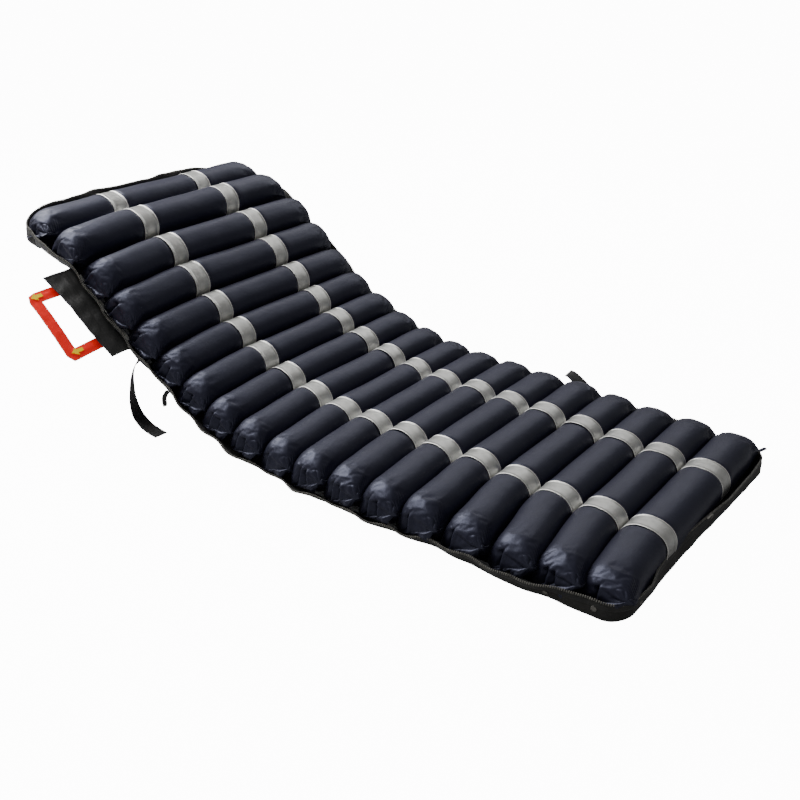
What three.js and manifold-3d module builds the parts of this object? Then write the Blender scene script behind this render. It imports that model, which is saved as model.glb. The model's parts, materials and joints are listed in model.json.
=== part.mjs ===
// Pressure relief mattress: a zipped fabric tray that holds eighteen air cells, on a bed whose back
// section is raised. Millimetres. +X points to the foot, +Y to the far side and +Z up. The origin is on
// the underside, at mid width, under the fourth cell from the foot.
//
// The tray is drawn as a row of sections, each one hinged to the one before it by the fabric of its
// floor. Inside a section, x runs from its foot-side hinge line (0) towards the head (negative), and z
// starts at the underside.

import * as THREE from 'three';
import { mergeVertices } from 'three/addons/utils/BufferGeometryUtils.js';
import Module from 'manifold-3d';

const wasm = await Module();
wasm.setup();

// ---------- driving dimensions ----------

const PITCH = 110; // from one cell's centre to the next
const ORIGIN_CELL = 4; // the origin lies under this cell, counted from the foot
const CELL_HEIGHT = 112;
const CELL_WIDTH = 92; // slimmer than the pitch, so that neighbours clear each other in a bend
const CELL_LENGTH = 816;
const CELL_DOME = 44; // depth of a cell's rounded end
const CELL_WELD_RADIUS = 16; // the closed tip at each end of a cell

const END_MARGIN = 82; // from the end wall's outer face to the centre of the nearest cell
const TRAY_WIDTH = 850;
const FLOOR = 2.5;
const WALL = 3;
const WALL_HEIGHT = 46;
const CORNER_RADIUS = 60;
const RIM_HEIGHT = 7; // the zip tape sewn round the top of the wall
const RIM_EXTRA = 1.2; // how far the zip tape stands proud of the wall

const HINGE_GAP = 0.5; // from a section's edge to its hinge line
const BACK_STEP = 6.2; // rest bend at each of the six back hinges, degrees
const BACK_STEP_MAX = 10; // the most that one back hinge bends
const HEAD_STEPS = [18, 12]; // rest bend at the two head hinges, which bend the other way

const STRIP_WIDTH = 52; // silver webbing over the cells
const STRIP_THICKNESS = 1.2;
const STRIP_OFFSET = 164; // from mid width to the middle of a strip
const STRIP_CLEARANCE = 0.4;

const CLEARANCE = 0.4; // between pieces that touch on the real object

// Sections from foot to head: the cells each one carries, and the bend at its foot-side hinge.
const SECTIONS = [
  { name: 'foot_section', cells: 8, bend: 0 },
  { name: 'bend_1', cells: 1, bend: BACK_STEP },
  { name: 'bend_2', cells: 1, bend: BACK_STEP },
  { name: 'bend_3', cells: 1, bend: BACK_STEP },
  { name: 'bend_4', cells: 1, bend: BACK_STEP },
  { name: 'bend_5', cells: 1, bend: BACK_STEP },
  { name: 'back_section', cells: 3, bend: BACK_STEP },
  { name: 'head_1', cells: 1, bend: -HEAD_STEPS[0] },
  { name: 'head_2', cells: 1, bend: -HEAD_STEPS[1] },
];

const radians = THREE.MathUtils.degToRad;
const NEAR = -1;
const FAR = 1;

// ---------- materials ----------

function material(color, roughness, metalness = 0) {
  return new THREE.MeshStandardMaterial({ color, roughness, metalness });
}

const COLOURS = {
  cell: [0x23242f, 0.38],
  tray: [0x1f1d1b, 0.85],
  strip: [0xb4b4ae, 0.45],
  webbing: [0x111112, 0.8],
  pull: [0xe2200f, 0.35],
  plug: [0xd8d8d2, 0.4],
  hose: [0xb9bcc0, 0.35],
  zip: [0x55524d, 0.45, 0.6],
};

function piece(name, geometry, finish) {
  const mesh = new THREE.Mesh(geometry, material(...COLOURS[finish]));
  mesh.name = name;
  return mesh;
}

// ---------- solids and booleans ----------

function toSolid(geometry) {
  const bare = geometry.clone();
  bare.deleteAttribute('normal');
  bare.deleteAttribute('uv');
  const merged = mergeVertices(bare, 1e-4);
  const vertProperties = new Float32Array(merged.attributes.position.array);
  const triVerts = new Uint32Array(merged.index.array);
  return new wasm.Manifold(new wasm.Mesh({ numProp: 3, vertProperties, triVerts }));
}

function toGeometry(solid) {
  const mesh = solid.getMesh();
  const geometry = new THREE.BufferGeometry();
  geometry.setAttribute('position', new THREE.BufferAttribute(mesh.vertProperties, 3));
  geometry.setIndex(new THREE.BufferAttribute(mesh.triVerts, 1));
  geometry.computeVertexNormals();
  return geometry;
}

function box(x0, x1, y0, y1, z0, z1) {
  const geometry = new THREE.BoxGeometry(x1 - x0, y1 - y0, z1 - z0);
  return geometry.translate((x0 + x1) / 2, (y0 + y1) / 2, (z0 + z1) / 2);
}

// A shape drawn as [x, z] points, extruded along +Y from y0 to y1.
function prismAcross(points, y0, y1) {
  const shape = new THREE.Shape(points.map(([x, z]) => new THREE.Vector2(x, z)));
  const geometry = new THREE.ExtrudeGeometry(shape, { depth: y1 - y0, bevelEnabled: false });
  return geometry.rotateX(Math.PI / 2).translate(0, y1, 0);
}

function cylinderAcross(radius, y0, y1, sides = 24) {
  const geometry = new THREE.CylinderGeometry(radius, radius, y1 - y0, sides);
  return geometry.translate(0, (y0 + y1) / 2, 0);
}

// ---------- the tray ----------

// Outline of one section's floor, seen from above, with rounded corners at an end wall.
function trayOutline(xHead, xFoot, halfWidth, footRadius, headRadius) {
  const shape = new THREE.Shape();
  if (footRadius > 0) {
    shape.absarc(xFoot - footRadius, halfWidth - footRadius, footRadius, Math.PI / 2, 0, true);
    shape.absarc(xFoot - footRadius, footRadius - halfWidth, footRadius, 0, -Math.PI / 2, true);
  } else {
    shape.moveTo(xFoot, halfWidth);
    shape.lineTo(xFoot, -halfWidth);
  }
  if (headRadius > 0) {
    shape.absarc(xHead + headRadius, headRadius - halfWidth, headRadius, -Math.PI / 2, Math.PI, true);
    shape.absarc(xHead + headRadius, halfWidth - headRadius, headRadius, Math.PI, Math.PI / 2, true);
  } else {
    shape.lineTo(xHead, -halfWidth);
    shape.lineTo(xHead, halfWidth);
  }
  shape.closePath();
  return shape;
}

function slab(outline, z0, z1) {
  const settings = { depth: z1 - z0, bevelEnabled: false, curveSegments: 6 };
  return toSolid(new THREE.ExtrudeGeometry(outline, settings).translate(0, 0, z0));
}

// One section of the tray. An end without a wall leans away from its hinge line where the tray folds
// upwards, so that two walls don't meet in the tightest bend.
function traySection({ length, footWall, headWall, footLean, headLean }) {
  const beyond = 10; // the hollow runs past an open end by this much
  const half = TRAY_WIDTH / 2;
  const footRadius = footWall ? CORNER_RADIUS : 0;
  const headRadius = headWall ? CORNER_RADIUS : 0;
  const outline = (grow) => trayOutline(
    -length - (headWall ? grow : 0),
    footWall ? grow : 0,
    half + grow,
    footRadius && footRadius + grow,
    headRadius && headRadius + grow,
  );
  const hollow = trayOutline(
    headWall ? -length + WALL : -length - beyond,
    footWall ? -WALL : beyond,
    half - WALL,
    footRadius && footRadius - WALL,
    headRadius && headRadius - WALL,
  );
  const wall = slab(outline(0), 0, WALL_HEIGHT);
  const rim = slab(outline(RIM_EXTRA), WALL_HEIGHT - RIM_HEIGHT, WALL_HEIGHT);
  const lean = WALL_HEIGHT * Math.tan(radians(BACK_STEP_MAX / 2));
  const footEdge = footWall ? 2 * RIM_EXTRA : -HINGE_GAP;
  const headEdge = headWall ? -length - 2 * RIM_EXTRA : -length + HINGE_GAP;
  const side = prismAcross([
    [headEdge, 0],
    [footEdge, 0],
    [footEdge - (footLean ? lean : 0), WALL_HEIGHT],
    [headEdge + (headLean ? lean : 0), WALL_HEIGHT],
  ], -TRAY_WIDTH, TRAY_WIDTH);
  const tray = wall.add(rim).subtract(slab(hollow, FLOOR, WALL_HEIGHT + 1));
  return toGeometry(tray.intersect(toSolid(side)));
}

// ---------- the air cells ----------

const CELL_CENTRE_Z = FLOOR + CLEARANCE + CELL_HEIGHT / 2;

// A bolster: round through the middle, domed at both ends, with a small flat tip where it is welded.
function airCell() {
  const radius = CELL_HEIGHT / 2;
  const half = CELL_LENGTH / 2;
  const domeSteps = 4;
  const profile = [new THREE.Vector2(0, -half)];
  for (let step = 0; step <= domeSteps; step += 1) {
    const angle = (step / domeSteps) * Math.PI / 2;
    const r = CELL_WELD_RADIUS + (radius - CELL_WELD_RADIUS) * Math.sin(angle);
    profile.push(new THREE.Vector2(r, -half + CELL_DOME * (1 - Math.cos(angle))));
  }
  for (const point of profile.slice().reverse()) {
    profile.push(new THREE.Vector2(point.x, -point.y));
  }
  const geometry = new THREE.LatheGeometry(profile, 18);
  return geometry.scale(CELL_WIDTH / CELL_HEIGHT, 1, 1);
}

// ---------- the silver retaining strips ----------

// The strip's underside over one cell, as [x, z] points from its head-side foot to its foot-side foot.
function stripArch(centreX) {
  const lowest = radians(-25); // the strip leaves the cell here and runs down to the floor
  const steps = 12;
  const aroundCell = 1 / Math.cos((Math.PI - 2 * lowest) / steps / 2); // keeps the chords outside it
  const a = (CELL_WIDTH / 2 + STRIP_CLEARANCE) * aroundCell;
  const b = (CELL_HEIGHT / 2 + STRIP_CLEARANCE) * aroundCell;
  const points = [];
  for (let step = 0; step <= steps; step += 1) {
    const angle = Math.PI - lowest + (step / steps) * (2 * lowest - Math.PI);
    points.push([centreX + a * Math.cos(angle), CELL_CENTRE_Z + b * Math.sin(angle)]);
  }
  return points;
}

// One strip, from hinge line to hinge line. It is sewn to the floor between cells.
function retainingStrip(cellXs, length) {
  const footZ = FLOOR + CLEARANCE;
  const edge = HINGE_GAP + 0.8; // from the hinge line to the strip's cut end
  const legInset = 3.5; // from the middle of a valley to the bottom of a strip's leg
  const startX = cellXs[0] === -PITCH / 2 ? -edge : cellXs[0] + PITCH / 2;
  const line = [[-length + edge, footZ]];
  for (const x of cellXs.slice().reverse()) {
    line.push([Math.max(x - PITCH / 2 + legInset, -length + edge + 1), footZ]);
    line.push(...stripArch(x));
    line.push([x + PITCH / 2 - legInset, footZ]);
  }
  line.push([startX, footZ]);
  const upper = line.map(([x, z], i) => {
    const before = line[Math.max(i - 1, 0)];
    const after = line[Math.min(i + 1, line.length - 1)];
    const run = new THREE.Vector2(after[0] - before[0], after[1] - before[1]).normalize();
    return [x - run.y * STRIP_THICKNESS, z + run.x * STRIP_THICKNESS];
  });
  return [...line, ...upper.reverse()];
}

// ---------- the emergency release on the near side ----------

const FLAP_LENGTH = 290;
const FLAP_REACH = 88;
const FLAP_THICKNESS = 2;
const FLAP_Z = 24;
const FLAP_X = -200; // middle of the flap, in the back section
const PULL_WIDTH = 230;
const PULL_REACH = 142; // from the plugs to the outside of the pull
const PULL_STRAP = 30;
const PULL_THICKNESS = 2.4;
const PULL_Z = 14;
const PLUG_RADIUS = 6;
const PLUG_LENGTH = 20;
const PLUG_HEAD = 4;
const PLUG_HEAD_RADIUS = 9;
const PLUG_HEAD_GAP = 0.5; // from a plug's head to the valve block
const BORE_RADIUS = 6.6;
const VALVE_DEPTH = 26;
const VALVE_HEIGHT = 20;
const VALVE_MARGIN = 16; // from a plug's axis to the end of the valve block
const PLUG_SPREAD = (PULL_WIDTH - PULL_STRAP) / 2; // from the middle to a plug's axis
const VALVE_Y = -TRAY_WIDTH / 2 - CLEARANCE; // the valve block's inner face, against the tray wall

function roundedRectangle(x0, x1, y0, y1, radius) {
  const shape = new THREE.Shape();
  shape.absarc(x1 - radius, y1 - radius, radius, 0, Math.PI / 2, false);
  shape.absarc(x0 + radius, y1 - radius, radius, Math.PI / 2, Math.PI, false);
  shape.absarc(x0 + radius, y0 + radius, radius, Math.PI, Math.PI * 1.5, false);
  shape.absarc(x1 - radius, y0 + radius, radius, Math.PI * 1.5, Math.PI * 2, false);
  shape.closePath();
  return shape;
}

// The valve block lies along the wall, with a blind socket for each plug. Local y = 0 at the wall.
function valveBlock() {
  const halfLength = PLUG_SPREAD + VALVE_MARGIN;
  const halfHeight = VALVE_HEIGHT / 2;
  let block = toSolid(box(-halfLength, halfLength, -VALVE_DEPTH, 0, -halfHeight, halfHeight));
  for (const side of [-1, 1]) {
    const depth = PLUG_LENGTH + 1;
    const bore = cylinderAcross(BORE_RADIUS, -VALVE_DEPTH - 1, -VALVE_DEPTH + depth);
    block = block.subtract(toSolid(bore.translate(side * PLUG_SPREAD, 0, 0)));
  }
  return toGeometry(block);
}

// The red pull: a flat U whose two legs end at the plugs. Local y = 0 at the plugs' heads.
function pullStrap() {
  const half = PULL_WIDTH / 2;
  const inner = half - PULL_STRAP;
  const outline = roundedRectangle(-half, half, -PULL_REACH, 0, 12);
  const window = roundedRectangle(-inner, inner, -PULL_REACH + PULL_STRAP, PULL_STRAP, 8);
  const settings = { depth: PULL_THICKNESS, bevelEnabled: false, curveSegments: 5 };
  const strap = toSolid(new THREE.ExtrudeGeometry(outline, settings));
  const taller = { ...settings, depth: PULL_THICKNESS + 2 };
  const cut = toSolid(new THREE.ExtrudeGeometry(window, taller).translate(0, 0, -1));
  return toGeometry(strap.subtract(cut).translate([0, 0, -PULL_THICKNESS / 2]));
}

// One plug, with its flat head outwards. Local y = 0 at the outside of the head.
function plug() {
  const stem = toSolid(cylinderAcross(PLUG_RADIUS, -1, PLUG_LENGTH, 20));
  const head = toSolid(cylinderAcross(PLUG_HEAD_RADIUS, -PLUG_HEAD, 0, 20));
  return toGeometry(stem.add(head).translate([0, PLUG_HEAD, 0]));
}

// ---------- straps, hoses and the zip slider ----------

const STRAP_WIDTH = 38;
const STRAP_THICKNESS = 1.8;

// Where each strap leaves the tray, as [x, z] in its section, and the line that it follows from there.
const NEAR_STRAP_START = [-106, 2];
const NEAR_STRAP_HANG = [[0, 0], [-14, -50], [-18, -100]];
const FOOT_STRAP_START = [-490, 32];
const FOOT_STRAP_LINE = [[0, 0], [-30, 8], [-72, 34], [-112, 54]];
const TAB_STRAP_START = [-850, 38];
const TAB_STRAP_LINE = [[0, 0], [-16, -20], [-56, -34], [-120, -35]];
const LOOP_START = [-90, 6];
const LOOP_LINE = [[0, 0], [-2, -16], [3, -30], [1, -44]];
const LOOP_WIDTH = 9;

// A ribbon that follows a line of [x, z] points, STRAP_THICKNESS thick and width wide along Y.
function ribbon(line, width) {
  const curve = new THREE.SplineCurve(line.map(([x, z]) => new THREE.Vector2(x, z)));
  const steps = 14;
  const left = [];
  const right = [];
  for (let step = 0; step <= steps; step += 1) {
    const point = curve.getPointAt(step / steps);
    const run = curve.getTangentAt(step / steps);
    const shift = STRAP_THICKNESS / 2;
    left.push([point.x - run.y * shift, point.y + run.x * shift]);
    right.push([point.x + run.y * shift, point.y - run.x * shift]);
  }
  return prismAcross([...left, ...right.reverse()], -width / 2, width / 2);
}

const HOSE_RADIUS = 4.5;
const HOSE_SPACING = 8.4;
const HOSE_INSET = HOSE_RADIUS + 2; // from the wall's inner face to the outer hose's axis
const COUPLING_LENGTH = 36;
const COUPLING_WIDTH = 18;
const COUPLING_HEIGHT = 16;
const NIPPLE_RADIUS = 3;
const NIPPLE_LENGTH = 12;
const COUPLING_Y = -TRAY_WIDTH / 2 + CORNER_RADIUS + 34; // middle of the coupling, by the foot wall

// Two hoses moulded side by side. pathAt gives the line of points at a distance from the wall.
function twinHose(pathAt, steps) {
  let hose = null;
  for (const inset of [HOSE_INSET, HOSE_INSET + HOSE_SPACING]) {
    const path = new THREE.CatmullRomCurve3(pathAt(inset).map((p) => new THREE.Vector3(...p)));
    const round = new THREE.Shape();
    round.absarc(0, 0, HOSE_RADIUS, 0, Math.PI * 2, false);
    const settings = { steps, extrudePath: path, bevelEnabled: false, curveSegments: 5 };
    const solid = toSolid(new THREE.ExtrudeGeometry(round, settings));
    hose = hose ? hose.add(solid) : solid;
  }
  return toGeometry(hose);
}

// From the pump coupling round the foot corner, then along the near wall to the back hinge.
function footHosePath(inset) {
  const corner = [-CORNER_RADIUS, CORNER_RADIUS - TRAY_WIDTH / 2];
  const radius = CORNER_RADIUS - WALL - inset;
  const z = FLOOR + HOSE_RADIUS + CLEARANCE;
  const points = [];
  for (const turn of [0, 30, 60, 90]) {
    const angle = radians(-turn);
    points.push([corner[0] + radius * Math.cos(angle), corner[1] + radius * Math.sin(angle), z]);
  }
  const y = corner[1] - radius;
  return [...points, [-90, y, z], [-140, y, z], [-500, y, z], [-900, y, z]];
}

function backHosePath(inset) {
  const y = inset + WALL - TRAY_WIDTH / 2;
  const z = FLOOR + HOSE_RADIUS + CLEARANCE;
  return [[-4, y, z], [-165, y, z], [-324, y, z]];
}

// The half of the pump coupling that stays with the mattress: a body with a nipple for each hose.
function pumpCoupling() {
  const half = COUPLING_LENGTH / 2;
  const across = COUPLING_WIDTH / 2;
  const upright = COUPLING_HEIGHT / 2;
  let body = toSolid(box(-across, across, -half, half, -upright, upright));
  for (const side of [-0.5, 0.5]) {
    const nipple = cylinderAcross(NIPPLE_RADIUS, -half - NIPPLE_LENGTH, -half + 1, 16);
    body = body.add(toSolid(nipple.translate(side * HOSE_SPACING, 0, 0)));
  }
  return toGeometry(body);
}

const SLIDER_LENGTH = 14;
const SLIDER_SHELL = 2;
const SLIDER_DEPTH = 6; // how far it reaches down each side of the rim
const SLIDER_Y = 40;
const POST_RADIUS = 1.3; // the round post that the pull tab turns on
const POST_HEIGHT = 3;
const TAB_WIDTH = 7;
const TAB_LENGTH = 28;
const TAB_THICKNESS = 1.2;
const TAB_HOLE_RADIUS = 1.9;

// The zip slider straddles the rim. Its origin is on top of the rim, at mid thickness.
function zipSlider() {
  const slot = (WALL + RIM_EXTRA) / 2 + CLEARANCE;
  const outside = slot + SLIDER_SHELL;
  const half = SLIDER_LENGTH / 2;
  const top = CLEARANCE + SLIDER_SHELL;
  const body = toSolid(box(-outside, outside, -half, half, -SLIDER_DEPTH, top));
  const opening = toSolid(box(-slot, slot, -half - 1, half + 1, -SLIDER_DEPTH - 1, CLEARANCE));
  const post = cylinderAcross(POST_RADIUS, top - 1, top + POST_HEIGHT).rotateX(Math.PI / 2);
  return toGeometry(body.subtract(opening).add(toSolid(post)));
}

// The pull tab lies over the slider's post, which comes up through its hole. Its origin is the middle
// of the hole.
function zipPull() {
  const half = TAB_WIDTH / 2;
  const outline = roundedRectangle(-half, half, half - TAB_LENGTH, half, 2.5);
  const hole = new THREE.Path();
  hole.absarc(0, 0, TAB_HOLE_RADIUS, 0, Math.PI * 2, true);
  outline.holes.push(hole);
  const settings = { depth: TAB_THICKNESS, bevelEnabled: false, curveSegments: 6 };
  return new THREE.ExtrudeGeometry(outline, settings).translate(0, 0, -TAB_THICKNESS / 2);
}

// ---------- assembly ----------

const mattress = new THREE.Group();
const groups = {};
let parent = mattress;
let nextX = END_MARGIN + (ORIGIN_CELL - 1) * PITCH;
let firstCell = 1;

SECTIONS.forEach((section, index) => {
  const isFirst = index === 0;
  const isLast = index === SECTIONS.length - 1;
  const footExtra = isFirst ? END_MARGIN - PITCH / 2 : 0;
  const headExtra = isLast ? END_MARGIN - PITCH / 2 : 0;
  const length = section.cells * PITCH + footExtra + headExtra;
  const group = new THREE.Group();
  group.position.x = nextX;
  group.rotation.y = radians(section.bend);
  parent.add(group);
  groups[section.name] = group;

  group.add(piece(`base_${section.name}`, traySection({
    length,
    footWall: isFirst,
    headWall: isLast,
    footLean: section.bend > 0,
    headLean: !isLast && SECTIONS[index + 1].bend > 0,
  }), 'tray'));

  const cellXs = [];
  for (let i = 0; i < section.cells; i += 1) {
    const x = -footExtra - (i + 0.5) * PITCH;
    const cell = piece(`air_cell_${String(firstCell + i).padStart(2, '0')}`, airCell(), 'cell');
    cell.position.set(x, 0, CELL_CENTRE_Z);
    group.add(cell);
    cellXs.push(x);
  }
  for (const [label, side] of [['near', NEAR], ['far', FAR]]) {
    const outline = retainingStrip(cellXs, length - headExtra);
    const geometry = prismAcross(outline, -STRIP_WIDTH / 2, STRIP_WIDTH / 2);
    const strip = piece(`${label}_strip_${section.name}`, geometry, 'strip');
    strip.position.y = side * STRIP_OFFSET;
    group.add(strip);
  }
  parent = group;
  nextX = -length;
  firstCell += section.cells;
});

// Emergency release, on the near wall of the back section.
const back = groups.back_section;
const valve = piece('cpr_valve_block', valveBlock(), 'plug');
valve.position.set(FLAP_X, VALVE_Y, PULL_Z);
back.add(valve);

const plugHeadY = VALVE_Y - VALVE_DEPTH - PLUG_HEAD_GAP - PLUG_HEAD;
const pull = piece('cpr_pull_handle', pullStrap(), 'pull');
pull.position.set(FLAP_X, plugHeadY - CLEARANCE, PULL_Z);
back.add(pull);
for (const [label, side] of [['a', 1], ['b', -1]]) {
  const stopper = piece(`cpr_plug_${label}`, plug(), 'plug');
  stopper.position.set(FLAP_X + side * PLUG_SPREAD, plugHeadY, PULL_Z);
  back.add(stopper);
}

const flapY = -TRAY_WIDTH / 2 - RIM_EXTRA - CLEARANCE - FLAP_THICKNESS / 2; // the flap's hinge line
const flapShape = box(
  -FLAP_LENGTH / 2,
  FLAP_LENGTH / 2,
  -FLAP_REACH,
  0,
  -FLAP_THICKNESS / 2,
  FLAP_THICKNESS / 2,
);
const flap = piece('cpr_flap', flapShape, 'tray');
flap.position.set(FLAP_X, flapY, FLAP_Z + FLAP_THICKNESS);
back.add(flap);

// Hold-down straps, each a ribbon that stands out from the wall by its own width. The near one hangs
// from the lower back until its end lies on the ground.
const strapY = TRAY_WIDTH / 2 + RIM_EXTRA + CLEARANCE + STRAP_WIDTH / 2;
mattress.updateMatrixWorld(true);
const nearStrapTop = groups.bend_5.localToWorld(new THREE.Vector3(
  NEAR_STRAP_START[0],
  -strapY,
  NEAR_STRAP_START[1],
));
const ground = CLEARANCE + STRAP_THICKNESS / 2 - nearStrapTop.z;
const nearStrapLine = [
  ...NEAR_STRAP_HANG,
  [12, ground + 16],
  [46, ground],
  [80, ground],
];
const nearStrap = piece('hold_down_strap_near', ribbon(nearStrapLine, STRAP_WIDTH), 'webbing');
nearStrap.position.copy(nearStrapTop);
mattress.add(nearStrap);

const farStraps = [
  ['hold_down_strap_far_foot', FOOT_STRAP_START, FOOT_STRAP_LINE],
  ['hold_down_strap_far_back', TAB_STRAP_START, TAB_STRAP_LINE],
];
for (const [name, [x, z], line] of farStraps) {
  const strap = piece(name, ribbon(line, STRAP_WIDTH), 'webbing');
  strap.position.set(x, strapY, z);
  groups.foot_section.add(strap);
}

const cordLoop = piece('cord_loop', ribbon(LOOP_LINE, LOOP_WIDTH), 'webbing');
const loopY = -TRAY_WIDTH / 2 - RIM_EXTRA - CLEARANCE - LOOP_WIDTH / 2;
cordLoop.position.set(LOOP_START[0], loopY, LOOP_START[1]);
groups.bend_4.add(cordLoop);

// Air hoses in the corner between the near wall and the cells' ends.
groups.foot_section.add(piece('air_hose_foot', twinHose(footHosePath, 20), 'hose'));
back.add(piece('air_hose_back', twinHose(backHosePath, 4), 'hose'));
const coupling = piece('pump_coupling', pumpCoupling(), 'plug');
coupling.position.set(
  -WALL - HOSE_INSET - HOSE_SPACING / 2,
  COUPLING_Y,
  FLOOR + CLEARANCE + COUPLING_HEIGHT / 2,
);
groups.foot_section.add(coupling);

// Zip slider and its tab, on the foot rim.
const rimMiddleX = (RIM_EXTRA - WALL) / 2;
const tabZ = WALL_HEIGHT + CLEARANCE + SLIDER_SHELL + POST_HEIGHT / 2;
const slider = piece('zip_slider', zipSlider(), 'zip');
slider.position.set(rimMiddleX, SLIDER_Y, WALL_HEIGHT);
const pullTab = piece('zip_pull_tab', zipPull(), 'zip');
pullTab.position.set(rimMiddleX, SLIDER_Y, tabZ);
groups.foot_section.add(slider, pullTab);

export default mattress;
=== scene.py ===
"""Looks for the pressure relief mattress: soft cells, tapes, tray, zip, release pull and straps.

Metres. +X points to the foot, +Y to the far side and +Z up. Shapes are first made on the unrolled
tray: s is the distance along its floor from the foot wall, y is across and h is the height above its
underside.
"""

import json
import math

import bpy
import numpy as np
from mathutils import Matrix, Vector


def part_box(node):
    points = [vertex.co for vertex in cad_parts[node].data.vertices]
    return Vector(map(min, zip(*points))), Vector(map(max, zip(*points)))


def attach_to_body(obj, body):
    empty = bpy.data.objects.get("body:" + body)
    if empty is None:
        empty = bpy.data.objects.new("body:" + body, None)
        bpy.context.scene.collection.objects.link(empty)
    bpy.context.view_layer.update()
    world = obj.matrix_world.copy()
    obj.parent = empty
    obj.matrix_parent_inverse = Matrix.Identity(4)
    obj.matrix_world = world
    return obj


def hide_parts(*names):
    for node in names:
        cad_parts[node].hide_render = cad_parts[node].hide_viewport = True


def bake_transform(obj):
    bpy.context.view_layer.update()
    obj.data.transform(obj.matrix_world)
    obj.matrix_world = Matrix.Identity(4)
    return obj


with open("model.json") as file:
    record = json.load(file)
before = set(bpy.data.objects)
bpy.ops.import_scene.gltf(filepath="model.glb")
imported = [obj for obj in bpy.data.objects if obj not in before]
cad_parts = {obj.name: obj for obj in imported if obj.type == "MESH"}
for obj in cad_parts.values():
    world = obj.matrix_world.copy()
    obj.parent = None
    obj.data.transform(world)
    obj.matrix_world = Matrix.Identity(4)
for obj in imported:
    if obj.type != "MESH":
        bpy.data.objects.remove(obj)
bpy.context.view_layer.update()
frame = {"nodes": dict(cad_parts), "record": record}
RECORD = frame["record"]
BODIES = RECORD["behaviour"]["bodies"]
MM = 0.001

# ---------------------------------------------------------------- the tray's line, from the frame

RIM_EXTRA = 1.2 * MM
BEND_HALF = 55 * MM  # the floor bends over this distance to each side of a hinge line


class Section:
    """A length of the tray between two hinge lines."""

    def __init__(self, name, x, z, tilt, start):
        self.name = name
        self.x = x
        self.z = z
        self.tilt = tilt
        self.start = start


def read_sections():
    foot_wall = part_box("base_foot_section")[1].x - RIM_EXTRA
    sections = [Section("foot_section", foot_wall, 0.0, 0.0, 0.0)]
    for joint in RECORD["behaviour"]["joints"]:
        if "_hinge_" not in joint["name"]:
            continue
        last = sections[-1]
        x, _, z = joint["pos_m"]
        bend = -math.radians(joint["range_deg"][0]) * joint["axis"][1]
        start = last.start + math.hypot(x - last.x, z - last.z)
        sections.append(Section(joint["child"], x, z, last.tilt + bend, start))
    return sections


SECTIONS = read_sections()
STARTS = np.array([section.start for section in SECTIONS])
SECTION_OF = {section.name: section for section in SECTIONS}
HALF_WIDTH = 425 * MM
PITCH = SECTIONS[2].start - SECTIONS[1].start
END_MARGIN = SECTIONS[1].start - 7.5 * PITCH
LENGTH = STARTS[-1] + PITCH / 2 + END_MARGIN
# distances from the foot wall, in metres, over which the slump of the near wall comes and goes
SLUMP_IN, SLUMP_OUT = (0.38, 0.6), (1.2, 1.38)


def slump(s):
    """1 along the bend, where the near wall hangs outwards and low, and 0 elsewhere."""
    return smooth(s, *SLUMP_IN) * (1 - smooth(s, *SLUMP_OUT))


def cell_slump(number):
    return float(slump(END_MARGIN + (number - 1) * PITCH))


def turn_y(x, z, angle):
    """x and z after a turn about +Y."""
    return x * np.cos(angle) + z * np.sin(angle), z * np.cos(angle) - x * np.sin(angle)


def to_world(s, y, h):
    """Points of the unrolled tray, in the row frame, with the floor bending smoothly at each hinge."""
    s, y, h = np.broadcast_arrays(np.asarray(s, float), np.asarray(y, float), np.asarray(h, float))
    index = np.clip(np.searchsorted(STARTS, s, side="right") - 1, 0, len(SECTIONS) - 1)
    after = np.clip(index + 1, 0, len(SECTIONS) - 1)
    near_next = (STARTS[after] - s < BEND_HALF) & (after > index)
    near_own = (s - STARTS[index] < BEND_HALF) & (index > 0)
    before = np.where(near_own, index - 1, index)
    hinge = np.where(near_own, index, after)
    bending = near_next | near_own
    xs = np.array([section.x for section in SECTIONS])
    zs = np.array([section.z for section in SECTIONS])
    tilts = np.array([section.tilt for section in SECTIONS])
    x, z = turn_y(STARTS[before] - s, h, tilts[before])
    x, z = x + xs[before], z + zs[before]
    share = np.clip((s - STARTS[hinge] + BEND_HALF) / (2 * BEND_HALF), 0, 1)
    angle = np.where(bending, (tilts[hinge] - tilts[before]) * share, 0.0)
    dx, dz = turn_y(x - xs[hinge], z - zs[hinge], angle)
    x = np.where(bending, xs[hinge] + dx, x)
    z = np.where(bending, zs[hinge] + dz, z)
    return np.stack([x, y, z], axis=-1)


def in_section(section, x, y, z):
    """Points of one section's own frame, in the row frame."""
    wx, wz = turn_y(np.asarray(x, float), np.asarray(z, float), section.tilt)
    return np.stack(np.broadcast_arrays(wx + section.x, y, wz + section.z), axis=-1)


def local_centre(node, section):
    """Middle of a CAD node's box along its section's own floor."""
    low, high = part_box(node)
    middle = (low + high) / 2
    return float(turn_y(middle.x - section.x, middle.z - section.z, -section.tilt)[0])


# ---------------------------------------------------------------- numbers that look natural

class Waves:
    """Smooth noise along a line, made of sines, between about -1 and 1."""

    def __init__(self, seed, shortest, longest, count=7):
        source = np.random.default_rng(seed)
        self.lengths = np.geomspace(shortest, longest, count) * source.uniform(0.85, 1.15, count)
        self.phases = source.uniform(0, 2 * math.pi, count)
        self.sizes = self.lengths / self.lengths.sum()

    def __call__(self, distance):
        angle = 2 * math.pi * np.asarray(distance)[..., None] / self.lengths + self.phases
        return (np.sin(angle) * self.sizes).sum(-1) * 1.6


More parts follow.
